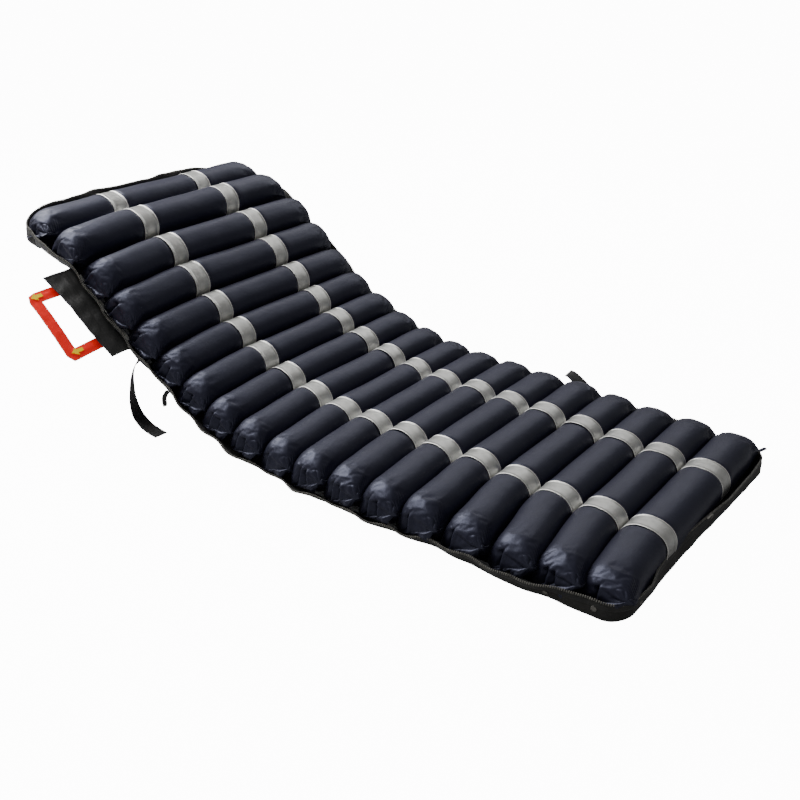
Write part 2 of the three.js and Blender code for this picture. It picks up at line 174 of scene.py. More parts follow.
class Ripples:
    """Smooth noise over a surface, made of crossing sines."""

    def __init__(self, seed, shortest, longest, count=14):
        source = np.random.default_rng(seed)
        self.lengths = np.geomspace(shortest, longest, count)
        self.turns = source.uniform(0, 2 * math.pi, count)
        self.phases = source.uniform(0, 2 * math.pi, count)
        self.sizes = self.lengths / self.lengths.sum()

    def __call__(self, a, b):
        a, b = np.asarray(a)[..., None], np.asarray(b)[..., None]
        along = a * np.cos(self.turns) + b * np.sin(self.turns)
        return (np.sin(2 * math.pi * along / self.lengths + self.phases) * self.sizes).sum(-1) * 2.2


def smooth(value, low, high):
    t = np.clip((np.asarray(value, float) - low) / (high - low), 0, 1)
    return t * t * (3 - 2 * t)


def bump(value, middle, width):
    return np.exp(-(((np.asarray(value, float) - middle) / width) ** 2))


# ---------------------------------------------------------------- meshes from grids

class Shell:
    """Collects grids of points as one mesh with UVs in metres and an 'edge' value per point."""

    def __init__(self):
        self.points = []
        self.faces = []
        self.uvs = []
        self.edge = []
        self.count = 0

    def add(self, points, uv, faces, edge=None):
        points = np.asarray(points, float).reshape(-1, 3)
        self.points.append(points)
        self.uvs.append(np.asarray(uv, float).reshape(-1, 2))
        self.edge.append(np.zeros(len(points)) if edge is None else np.asarray(edge, float).ravel())
        self.faces.append(np.asarray(faces) + self.count)
        self.count += len(points)

    def grid(self, points, edge=None, uv=None, flip=False):
        """An open grid of points, rows by columns."""
        rows, columns = points.shape[:2]
        uv = surface_uv(points) if uv is None else uv
        self.add(points, uv, grid_faces(rows, columns, flip), edge)

    def sheet(self, points, thickness, edge=None):
        """A grid made into a closed sheet, which grows from it against its normal."""
        normal = grid_normals(points)
        back = points - normal * np.asarray(thickness)[..., None]
        rows, columns = points.shape[:2]
        edge = np.zeros((rows, columns)) if edge is None else edge
        uv = surface_uv(points)
        both = np.concatenate([points.reshape(-1, 3), back.reshape(-1, 3)])
        first = grid_faces(rows, columns)
        second = grid_faces(rows, columns, True) + rows * columns
        loop, behind = border(rows, columns), rows * columns
        rim = [(b, a, a + behind, b + behind) for a, b in zip(loop, loop[1:] + loop[:1])]
        faces = np.concatenate([first, second, np.array(rim)])
        uv = uv.reshape(-1, 2)
        self.add(both, np.concatenate([uv, uv]), faces, np.tile(np.asarray(edge).ravel(), 2))

    def box(self, corners):
        """A block from eight corners, the lower four first."""
        faces = [(3, 2, 1, 0), (4, 5, 6, 7), (0, 1, 5, 4), (1, 2, 6, 5), (2, 3, 7, 6), (3, 0, 4, 7)]
        self.add(corners, np.asarray(corners)[:, :2], faces)

    def build(self, name, material, flat=False):
        points = np.concatenate(self.points)
        faces = np.concatenate([f.reshape(-1, 4) for f in self.faces])
        mesh = bpy.data.meshes.new(name)
        mesh.vertices.add(len(points))
        mesh.vertices.foreach_set("co", points.astype(np.float32).ravel())
        mesh.loops.add(faces.size)
        mesh.loops.foreach_set("vertex_index", faces.ravel().astype(np.int32))
        mesh.polygons.add(len(faces))
        mesh.polygons.foreach_set("loop_start", np.arange(0, faces.size, 4, dtype=np.int32))
        layer = mesh.uv_layers.new(name="UVMap")
        uv = np.concatenate(self.uvs)[faces.ravel()]
        layer.data.foreach_set("uv", uv.astype(np.float32).ravel())
        attribute = mesh.attributes.new("edge", "FLOAT", "POINT")
        attribute.data.foreach_set("value", np.concatenate(self.edge).astype(np.float32))
        mesh.update(calc_edges=True)
        mesh.validate()
        mesh.polygons.foreach_set("use_smooth", np.full(len(mesh.polygons), not flat))
        mesh.materials.append(material)
        piece = bpy.data.objects.new(name, mesh)
        bpy.context.scene.collection.objects.link(piece)
        return piece


def place(piece, body, node=None):
    """Puts a finished piece on its body, in place of a CAD node if one is named."""
    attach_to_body(piece, body)
    if node:
        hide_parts(node)


def grid_faces(rows, columns, flip=False, closed=False):
    """Four-cornered faces of a grid of points, which may close round along its columns."""
    j = np.arange(columns if closed else columns - 1)[None, :]
    k = (j + 1) % columns
    low = np.arange(rows - 1)[:, None] * columns
    high = low + columns
    faces = np.stack([low + j, low + k, high + k, high + j], -1).reshape(-1, 4)
    return faces[:, ::-1] if flip else faces


def border(rows, columns):
    """Indices of a grid's outer points, once round."""
    loop = list(range(columns))
    loop += [i * columns + columns - 1 for i in range(1, rows)]
    loop += [(rows - 1) * columns + j for j in range(columns - 2, -1, -1)]
    loop += [i * columns for i in range(rows - 2, 0, -1)]
    return loop


def grid_normals(points):
    """Unit normals of a grid, to the side from which its columns run to the right and its rows up."""
    along = np.gradient(points, axis=1)
    up = np.gradient(points, axis=0)
    normal = np.cross(along, up)
    return normal / np.maximum(np.linalg.norm(normal, axis=-1, keepdims=True), 1e-12)


def surface_uv(points):
    """Distance along the grid's columns and rows, in metres."""
    across = np.linalg.norm(np.diff(points, axis=1), axis=-1).mean(0)
    up = np.linalg.norm(np.diff(points, axis=0), axis=-1).mean(1)
    u = np.concatenate([[0], np.cumsum(across)])
    v = np.concatenate([[0], np.cumsum(up)])
    return np.stack(np.meshgrid(u, v), axis=-1)


# ---------------------------------------------------------------- materials

class Look:
    """A procedural material, built up node by node."""

    def __init__(self, name):
        self.material = bpy.data.materials.new(name)
        self.material.use_nodes = True
        self.tree = self.material.node_tree
        self.shader = self.tree.nodes["Principled BSDF"]
        self.normal = None
        self.uv = self.node("TexCoord").outputs["UV"]

    def feed(self, socket, value):
        """Sets an input to a value, or links another node's output to it."""
        if isinstance(value, bpy.types.NodeSocket):
            self.tree.links.new(value, socket)
        else:
            socket.default_value = value

    def node(self, kind, **inputs):
        node = self.tree.nodes.new("ShaderNode" + kind)
        for name, value in inputs.items():
            self.feed(node.inputs[name], value)
        return node

    def set(self, **inputs):
        for name, value in inputs.items():
            self.feed(self.shader.inputs[name.replace("_", " ")], value)

    def math(self, operation, *values):
        node = self.node("Math")
        node.operation = operation
        for socket, value in zip(node.inputs, values):
            self.feed(socket, value)
        return node.outputs[0]

    def noise(self, scale, detail, stretch=(1, 1, 1)):
        mapping = self.node("Mapping", Scale=stretch, Vector=self.uv)
        values = {"Scale": scale, "Detail": detail, "Roughness": 0.55}
        return self.node("TexNoise", Vector=mapping.outputs["Vector"], **values).outputs["Fac"]

    def wave(self, axis, length):
        """A sine of the distance along one axis of the UVs."""
        split = self.node("SeparateXYZ", Vector=self.uv)
        return self.math("SINE", self.math("MULTIPLY", split.outputs[axis], 2 * math.pi / length))

    def weave(self, thread_u, thread_v):
        """Height of a plain weave, 0 to 1, with its threads' pitch in metres."""
        both = self.math("MULTIPLY", self.wave(0, 2 * thread_u), self.wave(1, 2 * thread_v))
        return self.math("MULTIPLY_ADD", both, 0.5, 0.5)

    def ribs(self, pitch, axis):
        """Height of ribs along one axis of the UVs, 0 to 1."""
        return self.math("MULTIPLY_ADD", self.wave(axis, pitch), 0.5, 0.5)

    def bump(self, height, distance, strength):
        """Adds a bump on top of those before."""
        node = self.node("Bump", Distance=distance, Strength=strength, Height=height)
        if self.normal is not None:
            self.feed(node.inputs["Normal"], self.normal)
        self.normal = node.outputs["Normal"]
        self.set(Normal=self.normal)

    def mix(self, share, first, second):
        node = self.node("Mix")
        node.data_type = "RGBA"
        for name, value in (("A", first), ("B", second)):
            self.feed(node.inputs[name], (*value, 1) if isinstance(value, tuple) else value)
        self.feed(node.inputs["Factor"], share)
        return node.outputs["Result"]

    def remap(self, value, **limits):
        """value through a map range node, from 0..1 to 0..1 but for the given limits."""
        inputs = {name.replace("_", " ").title(): limit for name, limit in limits.items()}
        return self.node("MapRange", Value=value, **inputs).outputs["Result"]

    def colour(self, value, low, high, first, second, edge=None):
        """Base colour from first to second as value goes from low to high; edge where 'edge' is 1."""
        body = self.mix(self.remap(value, from_min=low, from_max=high), first, second)
        if edge is not None:
            attribute = self.node("Attribute")
            attribute.attribute_name = "edge"
            body = self.mix(attribute.outputs["Fac"], body, edge)
        self.set(Base_Color=body)

    def roughness(self, value, low, high):
        self.set(Roughness=self.remap(value, to_min=low, to_max=high))


def made(name, cloud, span, colours, roughness, bumps, **settings):
    """A finished material.

    cloud is noise that takes the base colour from the first of colours to the second over span, and
    a third colour is for edges. roughness is a number, or noise with its low and high. bumps lists
    (pattern, its values, distance, strength).
    """
    look = Look(name)
    look.colour(look.noise(*cloud), *span, *colours)
    if isinstance(roughness, tuple):
        noise, low, high = roughness
        look.roughness(look.noise(*noise), low, high)
    else:
        look.set(Roughness=roughness)
    patterns = {"noise": look.noise, "weave": look.weave, "ribs": look.ribs}
    for pattern, values, distance, strength in bumps:
        look.bump(patterns[pattern](*values), distance, strength)
    look.set(**settings)
    return look.material


LOOKS = {
    # satin coated nylon: navy black, with a fine weave, soft creases and pale weld edges; the same
    # pale colour paints highlights along the ears' folds
    "cell": made(
        "coated_nylon", (9, 4), (0.3, 0.7),
        [(0.0078, 0.0076, 0.0155), (0.0120, 0.0120, 0.0245), (0.035, 0.038, 0.055)],
        ((26, 5), 0.4, 0.5),
        [
            ("noise", (16, 6, (1, 2.4, 1)), 0.0022, 0.45),
            ("noise", (90, 3), 0.0004, 0.4),
            ("weave", (0.0007, 0.0007), 0.00008, 0.5),
        ],
        Sheen_Weight=0.05, Sheen_Roughness=0.35, Specular_IOR_Level=0.6,
        Sheen_Tint=(0.45, 0.5, 0.8, 1), Specular_Tint=(0.68, 0.72, 1.0, 1),
    ),
    # matt coated oxford cloth: warm black, with a visible weave and rubbed, dusty patches
    "tray": made(
        "oxford_cloth", (14, 6), (0.42, 0.72),
        [(0.0065, 0.0058, 0.0047), (0.0155, 0.0139, 0.0112), (0.04, 0.036, 0.03)],
        ((30, 4), 0.5, 0.72),
        [("noise", (22, 6), 0.003, 0.5), ("weave", (0.0011, 0.0011), 0.00025, 0.7)],
        Sheen_Weight=0.12, Sheen_Roughness=0.5,
    ),
    # the release flap: smoother and blacker than the tray, with soft creases from folding
    "flap": made(
        "flap_cloth", (6, 5, (1, 3, 1)), (0.5, 0.78),
        [(0.0045, 0.0042, 0.0036), (0.012, 0.0112, 0.0098), (0.022, 0.021, 0.018)],
        ((18, 4), 0.4, 0.58),
        [
            ("noise", (8, 4, (1, 2.5, 1)), 0.007, 0.6),
            ("noise", (30, 5), 0.0016, 0.5),
            ("weave", (0.0011, 0.0011), 0.0002, 0.6),
        ],
        Sheen_Weight=0.08, Sheen_Roughness=0.5,
    ),
    # woven silver-grey tape with fine cross ribs and pale woven edges
    "silver": made(
        "silver_tape", (60, 4), (0.3, 0.7),
        [(0.56, 0.56, 0.54), (0.7, 0.7, 0.67), (0.88, 0.87, 0.83)],
        ((80, 3), 0.28, 0.38),
        [("ribs", (0.0018, 1), 0.0003, 0.5), ("weave", (0.0009, 0.0009), 0.00015, 0.6)],
        Sheen_Weight=0.1, Sheen_Roughness=0.3, Metallic=0.88,
    ),
    "webbing": made(
        "black_webbing", (70, 4), (0.35, 0.75),
        [(0.005, 0.005, 0.006), (0.017, 0.017, 0.019)],
        0.7,
        [("ribs", (0.0034, 0), 0.0006, 0.7), ("weave", (0.0016, 0.0011), 0.0004, 0.8)],
        Sheen_Weight=0.25, Sheen_Roughness=0.45,
    ),
    "tape": made(
        "zip_tape", (40, 5), (0.45, 0.8),
        [(0.009, 0.009, 0.0085), (0.035, 0.034, 0.03)],
        0.66,
        [("ribs", (0.0016, 1), 0.0003, 0.6), ("weave", (0.0008, 0.0008), 0.0002, 0.7)],
        Sheen_Weight=0.15,
    ),
    "teeth": made(
        "zip_teeth", (300, 2), (0.4, 0.7),
        [(0.09, 0.088, 0.08), (0.3, 0.29, 0.26)],
        ((200, 2), 0.3, 0.5),
        [],
    ),
    "metal": made(
        "dull_metal", (220, 5), (0.35, 0.7),
        [(0.14, 0.135, 0.12), (0.32, 0.31, 0.29)],
        ((180, 4), 0.3, 0.55),
        [("noise", (260, 3), 0.0002, 0.4)],
        Metallic=0.85,
    ),
    # soft gloss vinyl with a faint grain; its paler edge colour is a painted highlight along the
    # pull's edges
    "red": made(
        "red_vinyl", (18, 4), (0.3, 0.7),
        [(0.78, 0.009, 0.003), (0.92, 0.014, 0.006), (0.95, 0.2, 0.14)],
        ((40, 4), 0.22, 0.4),
        [("noise", (30, 4), 0.0016, 0.4), ("noise", (420, 2), 0.0002, 0.35)],
        # a faint red glow: painted light, since the pull is no lamp
        Emission_Color=(1, 0.008, 0.002, 1), Emission_Strength=0.22,
        Coat_Weight=0.25, Coat_Roughness=0.2,
    ),
    "yellow": made(
        "yellow_print", (150, 4), (0.3, 0.8),
        [(0.92, 0.70, 0.002), (0.84, 0.6, 0.002)],
        0.4,
        [("noise", (400, 2), 0.0001, 0.3)],
        # a faint yellow glow: painted light, since the print is no lamp
        Emission_Color=(1, 0.6, 0.0, 1), Emission_Strength=0.22,
    ),
    "plastic": made(
        "pale_plastic", (60, 4), (0.3, 0.7),
        [(0.55, 0.55, 0.51), (0.66, 0.66, 0.62)],
        ((120, 3), 0.33, 0.5),
        [("noise", (500, 2), 0.0001, 0.4)],
    ),
    "hose": made(
        "hose_plastic", (50, 3), (0.3, 0.7),
        [(0.36, 0.38, 0.39), (0.47, 0.49, 0.5)],
        0.32,
        [("noise", (200, 2), 0.0002, 0.4)],
        Coat_Weight=0.2,
    ),
}


# ---------------------------------------------------------------- air cells

CELL_HEIGHT = 112 * MM
CELL_BASE = 3 * MM
NEAR_TIP = 440 * MM  # from mid width to a cell's welded end
FAR_TIP = 422 * MM
NEAR_DOME = 70 * MM
FAR_DOME = 84 * MM
LEDGE = 40 * MM  # height of the weld line at a cell's end
NEAR_SLOPE = 0.46  # how steeply that line climbs towards the foot, on the near side
FAR_SLOPE = 0.12
HEAD_CUT = 22 * MM  # a cell's end is rounded off by this much at its corner towards the head
FOOT_CUT = 8 * MM
RECESS = 20 * MM
END_SPREAD = 0.11  # a flattened tube grows wider, so the near ends press on each other
DOME_LINE = 92 * MM  # length of a dome's surface from crest to weld
UPPER_COLUMNS = 88
LOWER_COLUMNS = 22
DOME_ROWS = 46
BAND_Y = 164 * MM
BAND_HALF = 26 * MM
GROOVE = 2.4 * MM
# the cells nearest the foot are softer: lower, and pushed towards the foot wall
SOFT_HEIGHTS = {1: 101, 2: 104, 3: 104, 4: 108, 18: 102}
FOOT_SHIFTS = {1: 12, 2: 7, 3: 4, 4: 2, 18: -6}
NEAR_LEANS = {1: 14, 2: 22, 3: 27, 4: 18, 14: 12, 15: 14, 16: 14, 17: 12, 18: 2}
USUAL_LEAN = 12
FAR_EARS = {1: 15, 2: 14, 3: 12, 17: 12, 18: 14}  # how far a far end's foot-side corner stands out, mm
TIP_EXTRAS = {1: -32, 2: -12, 3: -6, 4: -3, 14: -3, 17: 5, 18: -12}
SLUMP_TIP = 9 * MM  # near ends in the bend reach this much further


def cell_width(number):
    """Cells in the concave bend are squeezed at their crests."""
    widths = {1: 118, 2: 112, 3: 111, 8: 105, 13: 102, 14: 105}
    if 9 <= number <= 12:
        return 101 * MM
    return widths.get(number, 109) * MM


def cell_height(number):
    return SOFT_HEIGHTS.get(number, CELL_HEIGHT / MM) * MM


def drift(number, y):
    """How far a cell lies towards the foot of its CAD place, more so at its near end."""
    lean = NEAR_LEANS.get(number, USUAL_LEAN) * MM
    return FOOT_SHIFTS.get(number, 0) * MM + lean * smooth(-np.asarray(y, float), 0.2, 0.4)


def around():
    upper = np.linspace(0, math.pi, UPPER_COLUMNS, endpoint=False)
    lower = np.linspace(math.pi, 2 * math.pi, LOWER_COLUMNS, endpoint=False)
    return np.concatenate([upper, lower])


def ring(width, angle, height=CELL_HEIGHT):
    """A cell's cross-section: round above, flatter where it rests on the floor."""
    c, s = np.cos(angle), np.sin(angle)
    power = np.where(s >= 0, 2.25, 2.6)
    x = width / 2 * np.sign(c) * np.abs(c) ** (2 / power)
    z = CELL_BASE + height / 2 * (1 + np.sign(s) * np.abs(s) ** (2 / power))
    return x, z


def ledge_height(x, slope):
    """The weld line at a cell's end climbs towards the foot."""
    return LEDGE + slope * np.clip(x, -42 * MM, 50 * MM)


def end_depth(x, width, dome):
    """Depth of the domed end, less towards its corners and least on the head side."""
    c = np.clip(np.abs(x) / (width / 2), 0, 1)
    return dome - np.where(x < 0, HEAD_CUT, FOOT_CUT) * c ** 3.2


WALL_GAP = 4 * MM
WALL_SLOPE = 0.52  # how far the near wall leans out for each metre up
SLUMP_SLOPE = 0.38  # and how much further in the bend


def wall_limit(z, number):
    """How far out a near end may reach at height z before it presses on the leaning wall."""
    slope = WALL_SLOPE + SLUMP_SLOPE * cell_slump(number)
    return HALF_WIDTH - WALL_GAP + slope * np.clip(z, 0, WALL_TOP)


def dome_rows(number, side, tip, angle):
    """Points of one domed end, from the straight part to the weld line: x, reach and z."""
    width = cell_width(number)
    slope, dome, power = (NEAR_SLOPE, NEAR_DOME, 2.4) if side < 0 else (FAR_SLOPE, FAR_DOME, 2.2)
    t = np.linspace(0, 1, DOME_ROWS + 1)[1:, None]
    psi = t * math.pi / 2
    out, back = np.sin(psi) ** (2 / power), np.cos(psi) ** (2 / power)
    x, z = ring(width, angle, cell_height(number))
    x, z = x[None], z[None]
    ledge = ledge_height(x, slope)
    depth = end_depth(x, width, dome)
    upper = smooth(z - ledge, -6 * MM, 8 * MM)
    under = (depth - RECESS) * out + RECESS * smooth(t, 0.74, 1.0)
    reach = tip - dome + upper * depth * out + (1 - upper) * under
    spread = 1 + (END_SPREAD if side < 0 else -0.05) * np.sin(psi) ** 2
    z = ledge + (z - ledge) * back
    if side < 0:
        reach = np.minimum(reach, wall_limit(z, number))
    return x * spread, reach, z, t


def middle_rows(near_tip, far_tip):
    """Stations along a cell's straight part, closer together where a band presses it in."""
    near_end, far_end = NEAR_DOME - near_tip, far_tip - FAR_DOME
    marks = []
    for side in (-1, 1):
        marks += list(side * BAND_Y + np.linspace(-36, 36, 19) * MM)
    marks += list(np.linspace(-BAND_Y + 50 * MM, BAND_Y - 50 * MM, 14))
    marks += list(np.linspace(BAND_Y + 50 * MM, far_end, 14))
    marks += list(np.linspace(near_end, -BAND_Y - 50 * MM, 16))
    return np.unique(np.round(marks, 5))


def cell_surface(number, width):
    """The whole inflated tube as a grid: rows along y, columns around."""
    source = np.random.default_rng(100 + number)
    angle = around()
    near_tip = NEAR_TIP + source.uniform(-3, 3) * MM
    near_tip += TIP_EXTRAS.get(number, 0) * MM + SLUMP_TIP * cell_slump(number)
    far_tip = FAR_TIP + source.uniform(-4, 3) * MM
    rows = []
    marks = []
    for side, tip in ((-1, near_tip), (1, far_tip)):
        x, reach, z, t = dome_rows(number, side, tip, angle)
        grid = np.stack([x, side * reach, z], axis=-1)
        rows.append(grid[::-1] if side < 0 else grid)
        marks.append(t[::-1, 0] * side if side < 0 else t[:, 0] * side)
    stations = middle_rows(near_tip, far_tip)
    x, z = ring(width, angle, cell_height(number))
    straight = np.stack(np.broadcast_arrays(x[None], stations[:, None], z[None]), axis=-1)
    points = np.concatenate([rows[0], straight, rows[1]])
    dome = np.concatenate([marks[0], np.zeros(len(stations)), marks[1]])
    return points, dome, angle, near_tip, far_tip


def ring_normals(points):
    """Outward unit normals of a grid whose columns close round."""
    wrapped = np.concatenate([points[:, -1:], points, points[:, :1]], axis=1)
    return -grid_normals(wrapped)[:, 1:-1]


SIM_STEP = 2  # the cloth is simulated on every second row and column
SIM_FRAMES = 20
SIM_STRAIGHT = 7  # rows of the straight part that take part
SIM_GROWTH = 0.12  # the welded end holds this much more cloth than its smooth shape needs
SIM_PRESSURE = 5.0
SIM_CAP = 6 * MM
SIM_SHARE = 0.55  # how much of the simulated movement is kept
VARIANTS = 6


def simulated_cloth(points, growth):
    """Where a slack sheet, held at its first and last rows and its base, settles under pressure."""
    rows, columns = points.shape[:2]
    mesh = bpy.data.meshes.new("settling_end")
    faces = grid_faces(rows, columns, closed=True)
    mesh.from_pydata(points.reshape(-1, 3).tolist(), [], faces.tolist())
    cloth = bpy.data.objects.new("settling_end", mesh)
    bpy.context.scene.collection.objects.link(cloth)
    held = cloth.vertex_groups.new(name="held")
    grown = cloth.vertex_groups.new(name="grown")
    row = np.arange(rows)[:, None]
    index = np.arange(rows * columns).reshape(rows, columns)
    fixed = (row == 0) | (row == rows - 1) | (points[..., 2] < 9 * MM)
    held.add(index[fixed].tolist(), 1.0, "REPLACE")
    for i, weight in zip(index.ravel().tolist(), growth.ravel().tolist()):
        grown.add([i], weight, "REPLACE")
    modifier = cloth.modifiers.new("cloth", "CLOTH")
    settings = modifier.settings
    settings.quality = 5
    settings.mass = 0.1
    settings.tension_stiffness = settings.compression_stiffness = 25
    settings.shear_stiffness = 8
    settings.bending_stiffness = 0.3
    settings.air_damping = 2
    settings.use_pressure = True
    settings.uniform_pressure_force = SIM_PRESSURE
    settings.effector_weights.gravity = 0
    settings.vertex_group_mass = "held"
    settings.vertex_group_shrink = "grown"
    settings.shrink_min = 0.0
    settings.shrink_max = -SIM_GROWTH
    modifier.collision_settings.use_collision = False
    for number in range(1, SIM_FRAMES + 1):
        bpy.context.scene.frame_set(number)
    settled = cloth.evaluated_get(bpy.context.evaluated_depsgraph_get())
    result = settled.to_mesh()
    places = np.empty(len(result.vertices) * 3)
    result.vertices.foreach_get("co", places)
    settled.to_mesh_clear()
    bpy.data.objects.remove(cloth)
    bpy.context.scene.frame_set(1)
    return places.reshape(rows, columns, 3)


def resample(field, rows, columns):
    """A coarse grid of vectors, closed along its columns, made as fine as rows by columns."""
    wrapped = np.concatenate([field, field[:, :1]], axis=1)
    r = np.linspace(0, 1, field.shape[0])
    c = np.linspace(0, 1, wrapped.shape[1])
    fine_r, fine_c = np.linspace(0, 1, rows), np.arange(columns) / columns
    out = np.empty((rows, columns, 3))
    for k in range(3):
        along = np.stack([np.interp(fine_r, r, line) for line in wrapped[..., k].T], axis=1)
        out[..., k] = np.stack([np.interp(fine_c, c, line) for line in along])
    near = (np.roll(out, 1, axis=1) + np.roll(out, -1, axis=1)) / 2
    return 0.5 * out + 0.5 * near


def crumple(points, dome, seed, side):
    """Wrinkles of one end from a cloth simulation: rows of the grid, and how far each point moves."""
    order = np.arange(len(points)) if side > 0 else np.arange(len(points))[::-1]
    first = int((dome * side <= 0).sum()) - SIM_STRAIGHT
    rows = order[first:] if (len(order) - first) % 2 else order[first - 1:]
    end = points[rows]
    coarse = end[::SIM_STEP, ::SIM_STEP].copy()
    x, z = coarse[..., 0], coarse[..., 2]
    y = np.abs(coarse[..., 1])
    for axis in range(3):
        coarse[..., axis] += 0.7 * MM * Ripples(seed * 3 + axis, 14 * MM, 60 * MM)(x + y, z - y)
    line = np.abs(points[rows[0], 0, 1])
    tip = np.abs(end[..., 1]).max()
    growth = smooth(y, line + 0.35 * (tip - line), line + 0.75 * (tip - line))
    turn = slice(None, None, 1 if side > 0 else -1)  # keeps the cloth's faces outwards
    settled = simulated_cloth(coarse[:, turn], growth[:, turn])[:, turn]
    moved = settled - end[::SIM_STEP, ::SIM_STEP]
    size = np.linalg.norm(moved, axis=-1, keepdims=True)
    moved *= np.minimum(1, SIM_CAP / np.maximum(size, 1e-9))
    fine = resample(moved, len(rows), points.shape[1])
    row = np.arange(len(rows))
    fade = smooth(row, 1, 13) * (1 - smooth(row, len(rows) - 4, len(rows) - 1))
    return rows, SIM_SHARE * fine * fade[:, None, None]


CRUMPLES = {}


def crumpled(points, dome, number):
    """The cell with simulated wrinkles at both ends; a few results serve all the cells."""
    points = points.copy()
    for side, count in ((-1, VARIANTS), (1, VARIANTS // 2)):
        key = (side, number % count)
        if key not in CRUMPLES:
            CRUMPLES[key] = crumple(points, dome, 40 + number, side)
        rows, moved = CRUMPLES[key]
        points[rows] += moved
    return points


def sculpt_cell(points, dome, angle, number):
    """Band grooves, end folds, puckered shoulders and a little unevenness, along the normals."""
    source = np.random.default_rng(500 + number)
    normal = ring_normals(points)
    x, y, z = points[..., 0], points[..., 1], points[..., 2]
    around_line = np.broadcast_to(angle, y.shape) * 50 * MM
    push = Ripples(900 + number, 70 * MM, 420 * MM)(y, around_line) * 1.3 * MM
    top = smooth(np.sin(angle), -0.55, -0.25)[None]
    for side in (-1, 1):
        away = np.abs(y - side * BAND_Y)
        push = push - GROOVE * top * (1 - smooth(away, BAND_HALF - 1 * MM, BAND_HALF + 7 * MM))
        push = push + 0.8 * MM * top * bump(away, BAND_HALF + 14 * MM, 9 * MM)
    for side, slope in ((-1, NEAR_SLOPE), (1, FAR_SLOPE)):
        t = np.clip(dome * side, 0, 1)[:, None]
        above = smooth(z - ledge_height(x, slope), -3 * MM, 1 * MM)
        push = push + end_folds(x, t, source) * above
        push = push + puckers(y, angle[None], t, source)
        grain = Ripples(1100 + number * 2 + side, 9 * MM, 42 * MM)(x + 0.4 * z, z * 0.6 + y * 0.2)
        push = push + 0.7 * MM * (np.abs(grain) - 0.4) * smooth(t, 0.45, 0.8) * above
    return points + normal * push[..., None]


def fold(x, t, start, stop, depth, wide, tight):
    """A crease from start to stop, both (x, t) on a dome.

    It falls slowly over wide on its head side, and sharply over tight on the other.
    """
    run = stop[0] - start[0]
    fall = (stop[1] - start[1]) * DOME_LINE
    length = math.hypot(run, fall)
    px, pt = x - start[0], (t - start[1]) * DOME_LINE
    along = (px * run + pt * fall) / length ** 2
    away = (px * fall - pt * run) / length
    slow = np.exp(np.minimum(away, 0) / wide)
    sharp = np.exp(-((np.maximum(away, 0) / tight) ** 2))
    profile = np.where(away < 0, slow, sharp)
    lip = 0.18 * bump(away, 3.2 * tight, 2.4 * tight)
    return depth * (lip - profile) * smooth(along, -0.04, 0.22) * (1 - smooth(along, 1.0, 1.12))


def end_folds(x, t, source):
    """Sharp pleats from notches in the dome down to the weld line, and a slack one towards the ear."""
    first = source.uniform(-27, -17) * MM
    top = source.uniform(0.6, 0.68)
    lean = source.uniform(-3, 6) * MM
    deep = source.uniform(14, 18) * MM
    pleat = 9 * MM, 2.2 * MM
    push = fold(x, t, (first + lean, top), (first, 1.1), deep, *pleat)
    if source.random() < 0.7:
        second = first + source.uniform(24, 30) * MM
        deep = source.uniform(11, 16) * MM
        start, stop = (second - lean, top + 0.04), (second + 4 * MM, 1.1)
        push = push + fold(x, t, start, stop, deep, *pleat)
    ear = source.uniform(36, 42) * MM
    slack = source.uniform(2, 3.5) * MM
    push = push + fold(x, t, (first + 4 * MM, top + 0.06), (ear, 0.97), slack, 7 * MM, 2.4 * MM)
    for turn in (-1, 1):
        tip = (first + lean + turn * 10 * MM, top - 0.1)
        push = push + fold(x, t, (first + lean, top + 0.04), tip, 1.2 * MM, 4 * MM, 3 * MM)
    return push + fan(x, t, source)


def fan(x, t, source):
    """Fine wrinkles that spread from the foot-side corner of the weld over the shoulder."""
    dx = x - 50 * MM
    dt = (0.96 - t) * DOME_LINE
    reach = np.hypot(dx, dt)
    angle = np.arctan2(dt, -dx)
    within = smooth(reach, 5 * MM, 14 * MM) * (1 - smooth(reach, 26 * MM, 46 * MM))
    wave = np.abs(np.sin(5.5 * angle + source.uniform(0, 3)))
    arc = bump(reach, 36 * MM + 4 * MM * np.sin(2 * angle), 2.4 * MM) * smooth(angle, 0.5, 1.2)
    return -(2.4 * MM * within * (1 - wave) ** 1.7 + 1.6 * MM * arc)


def puckers(y, angle, t, source):
    """Short wrinkles that run round the shoulders, close to the weld."""
    push = np.zeros(np.broadcast(y, angle).shape)
    inside = smooth(t, 0.03, 0.22) * (1 - smooth(t, 0.5, 0.75))
    for middle, size in ((math.radians(30), 1.8), (math.radians(150), 1.0)):
        mask = bump(angle, middle, 0.3) * inside
        phase = source.uniform(0, 6.28)
        bend = (angle - middle) * source.uniform(8, 16) * MM
        pitch = source.uniform(13, 17) * MM
        wave = np.sin(2 * math.pi * (np.abs(y) + bend) / pitch + phase)
        push = push - size * MM * mask * (1 - np.abs(wave)) ** 1.6 * 1.5
    return push


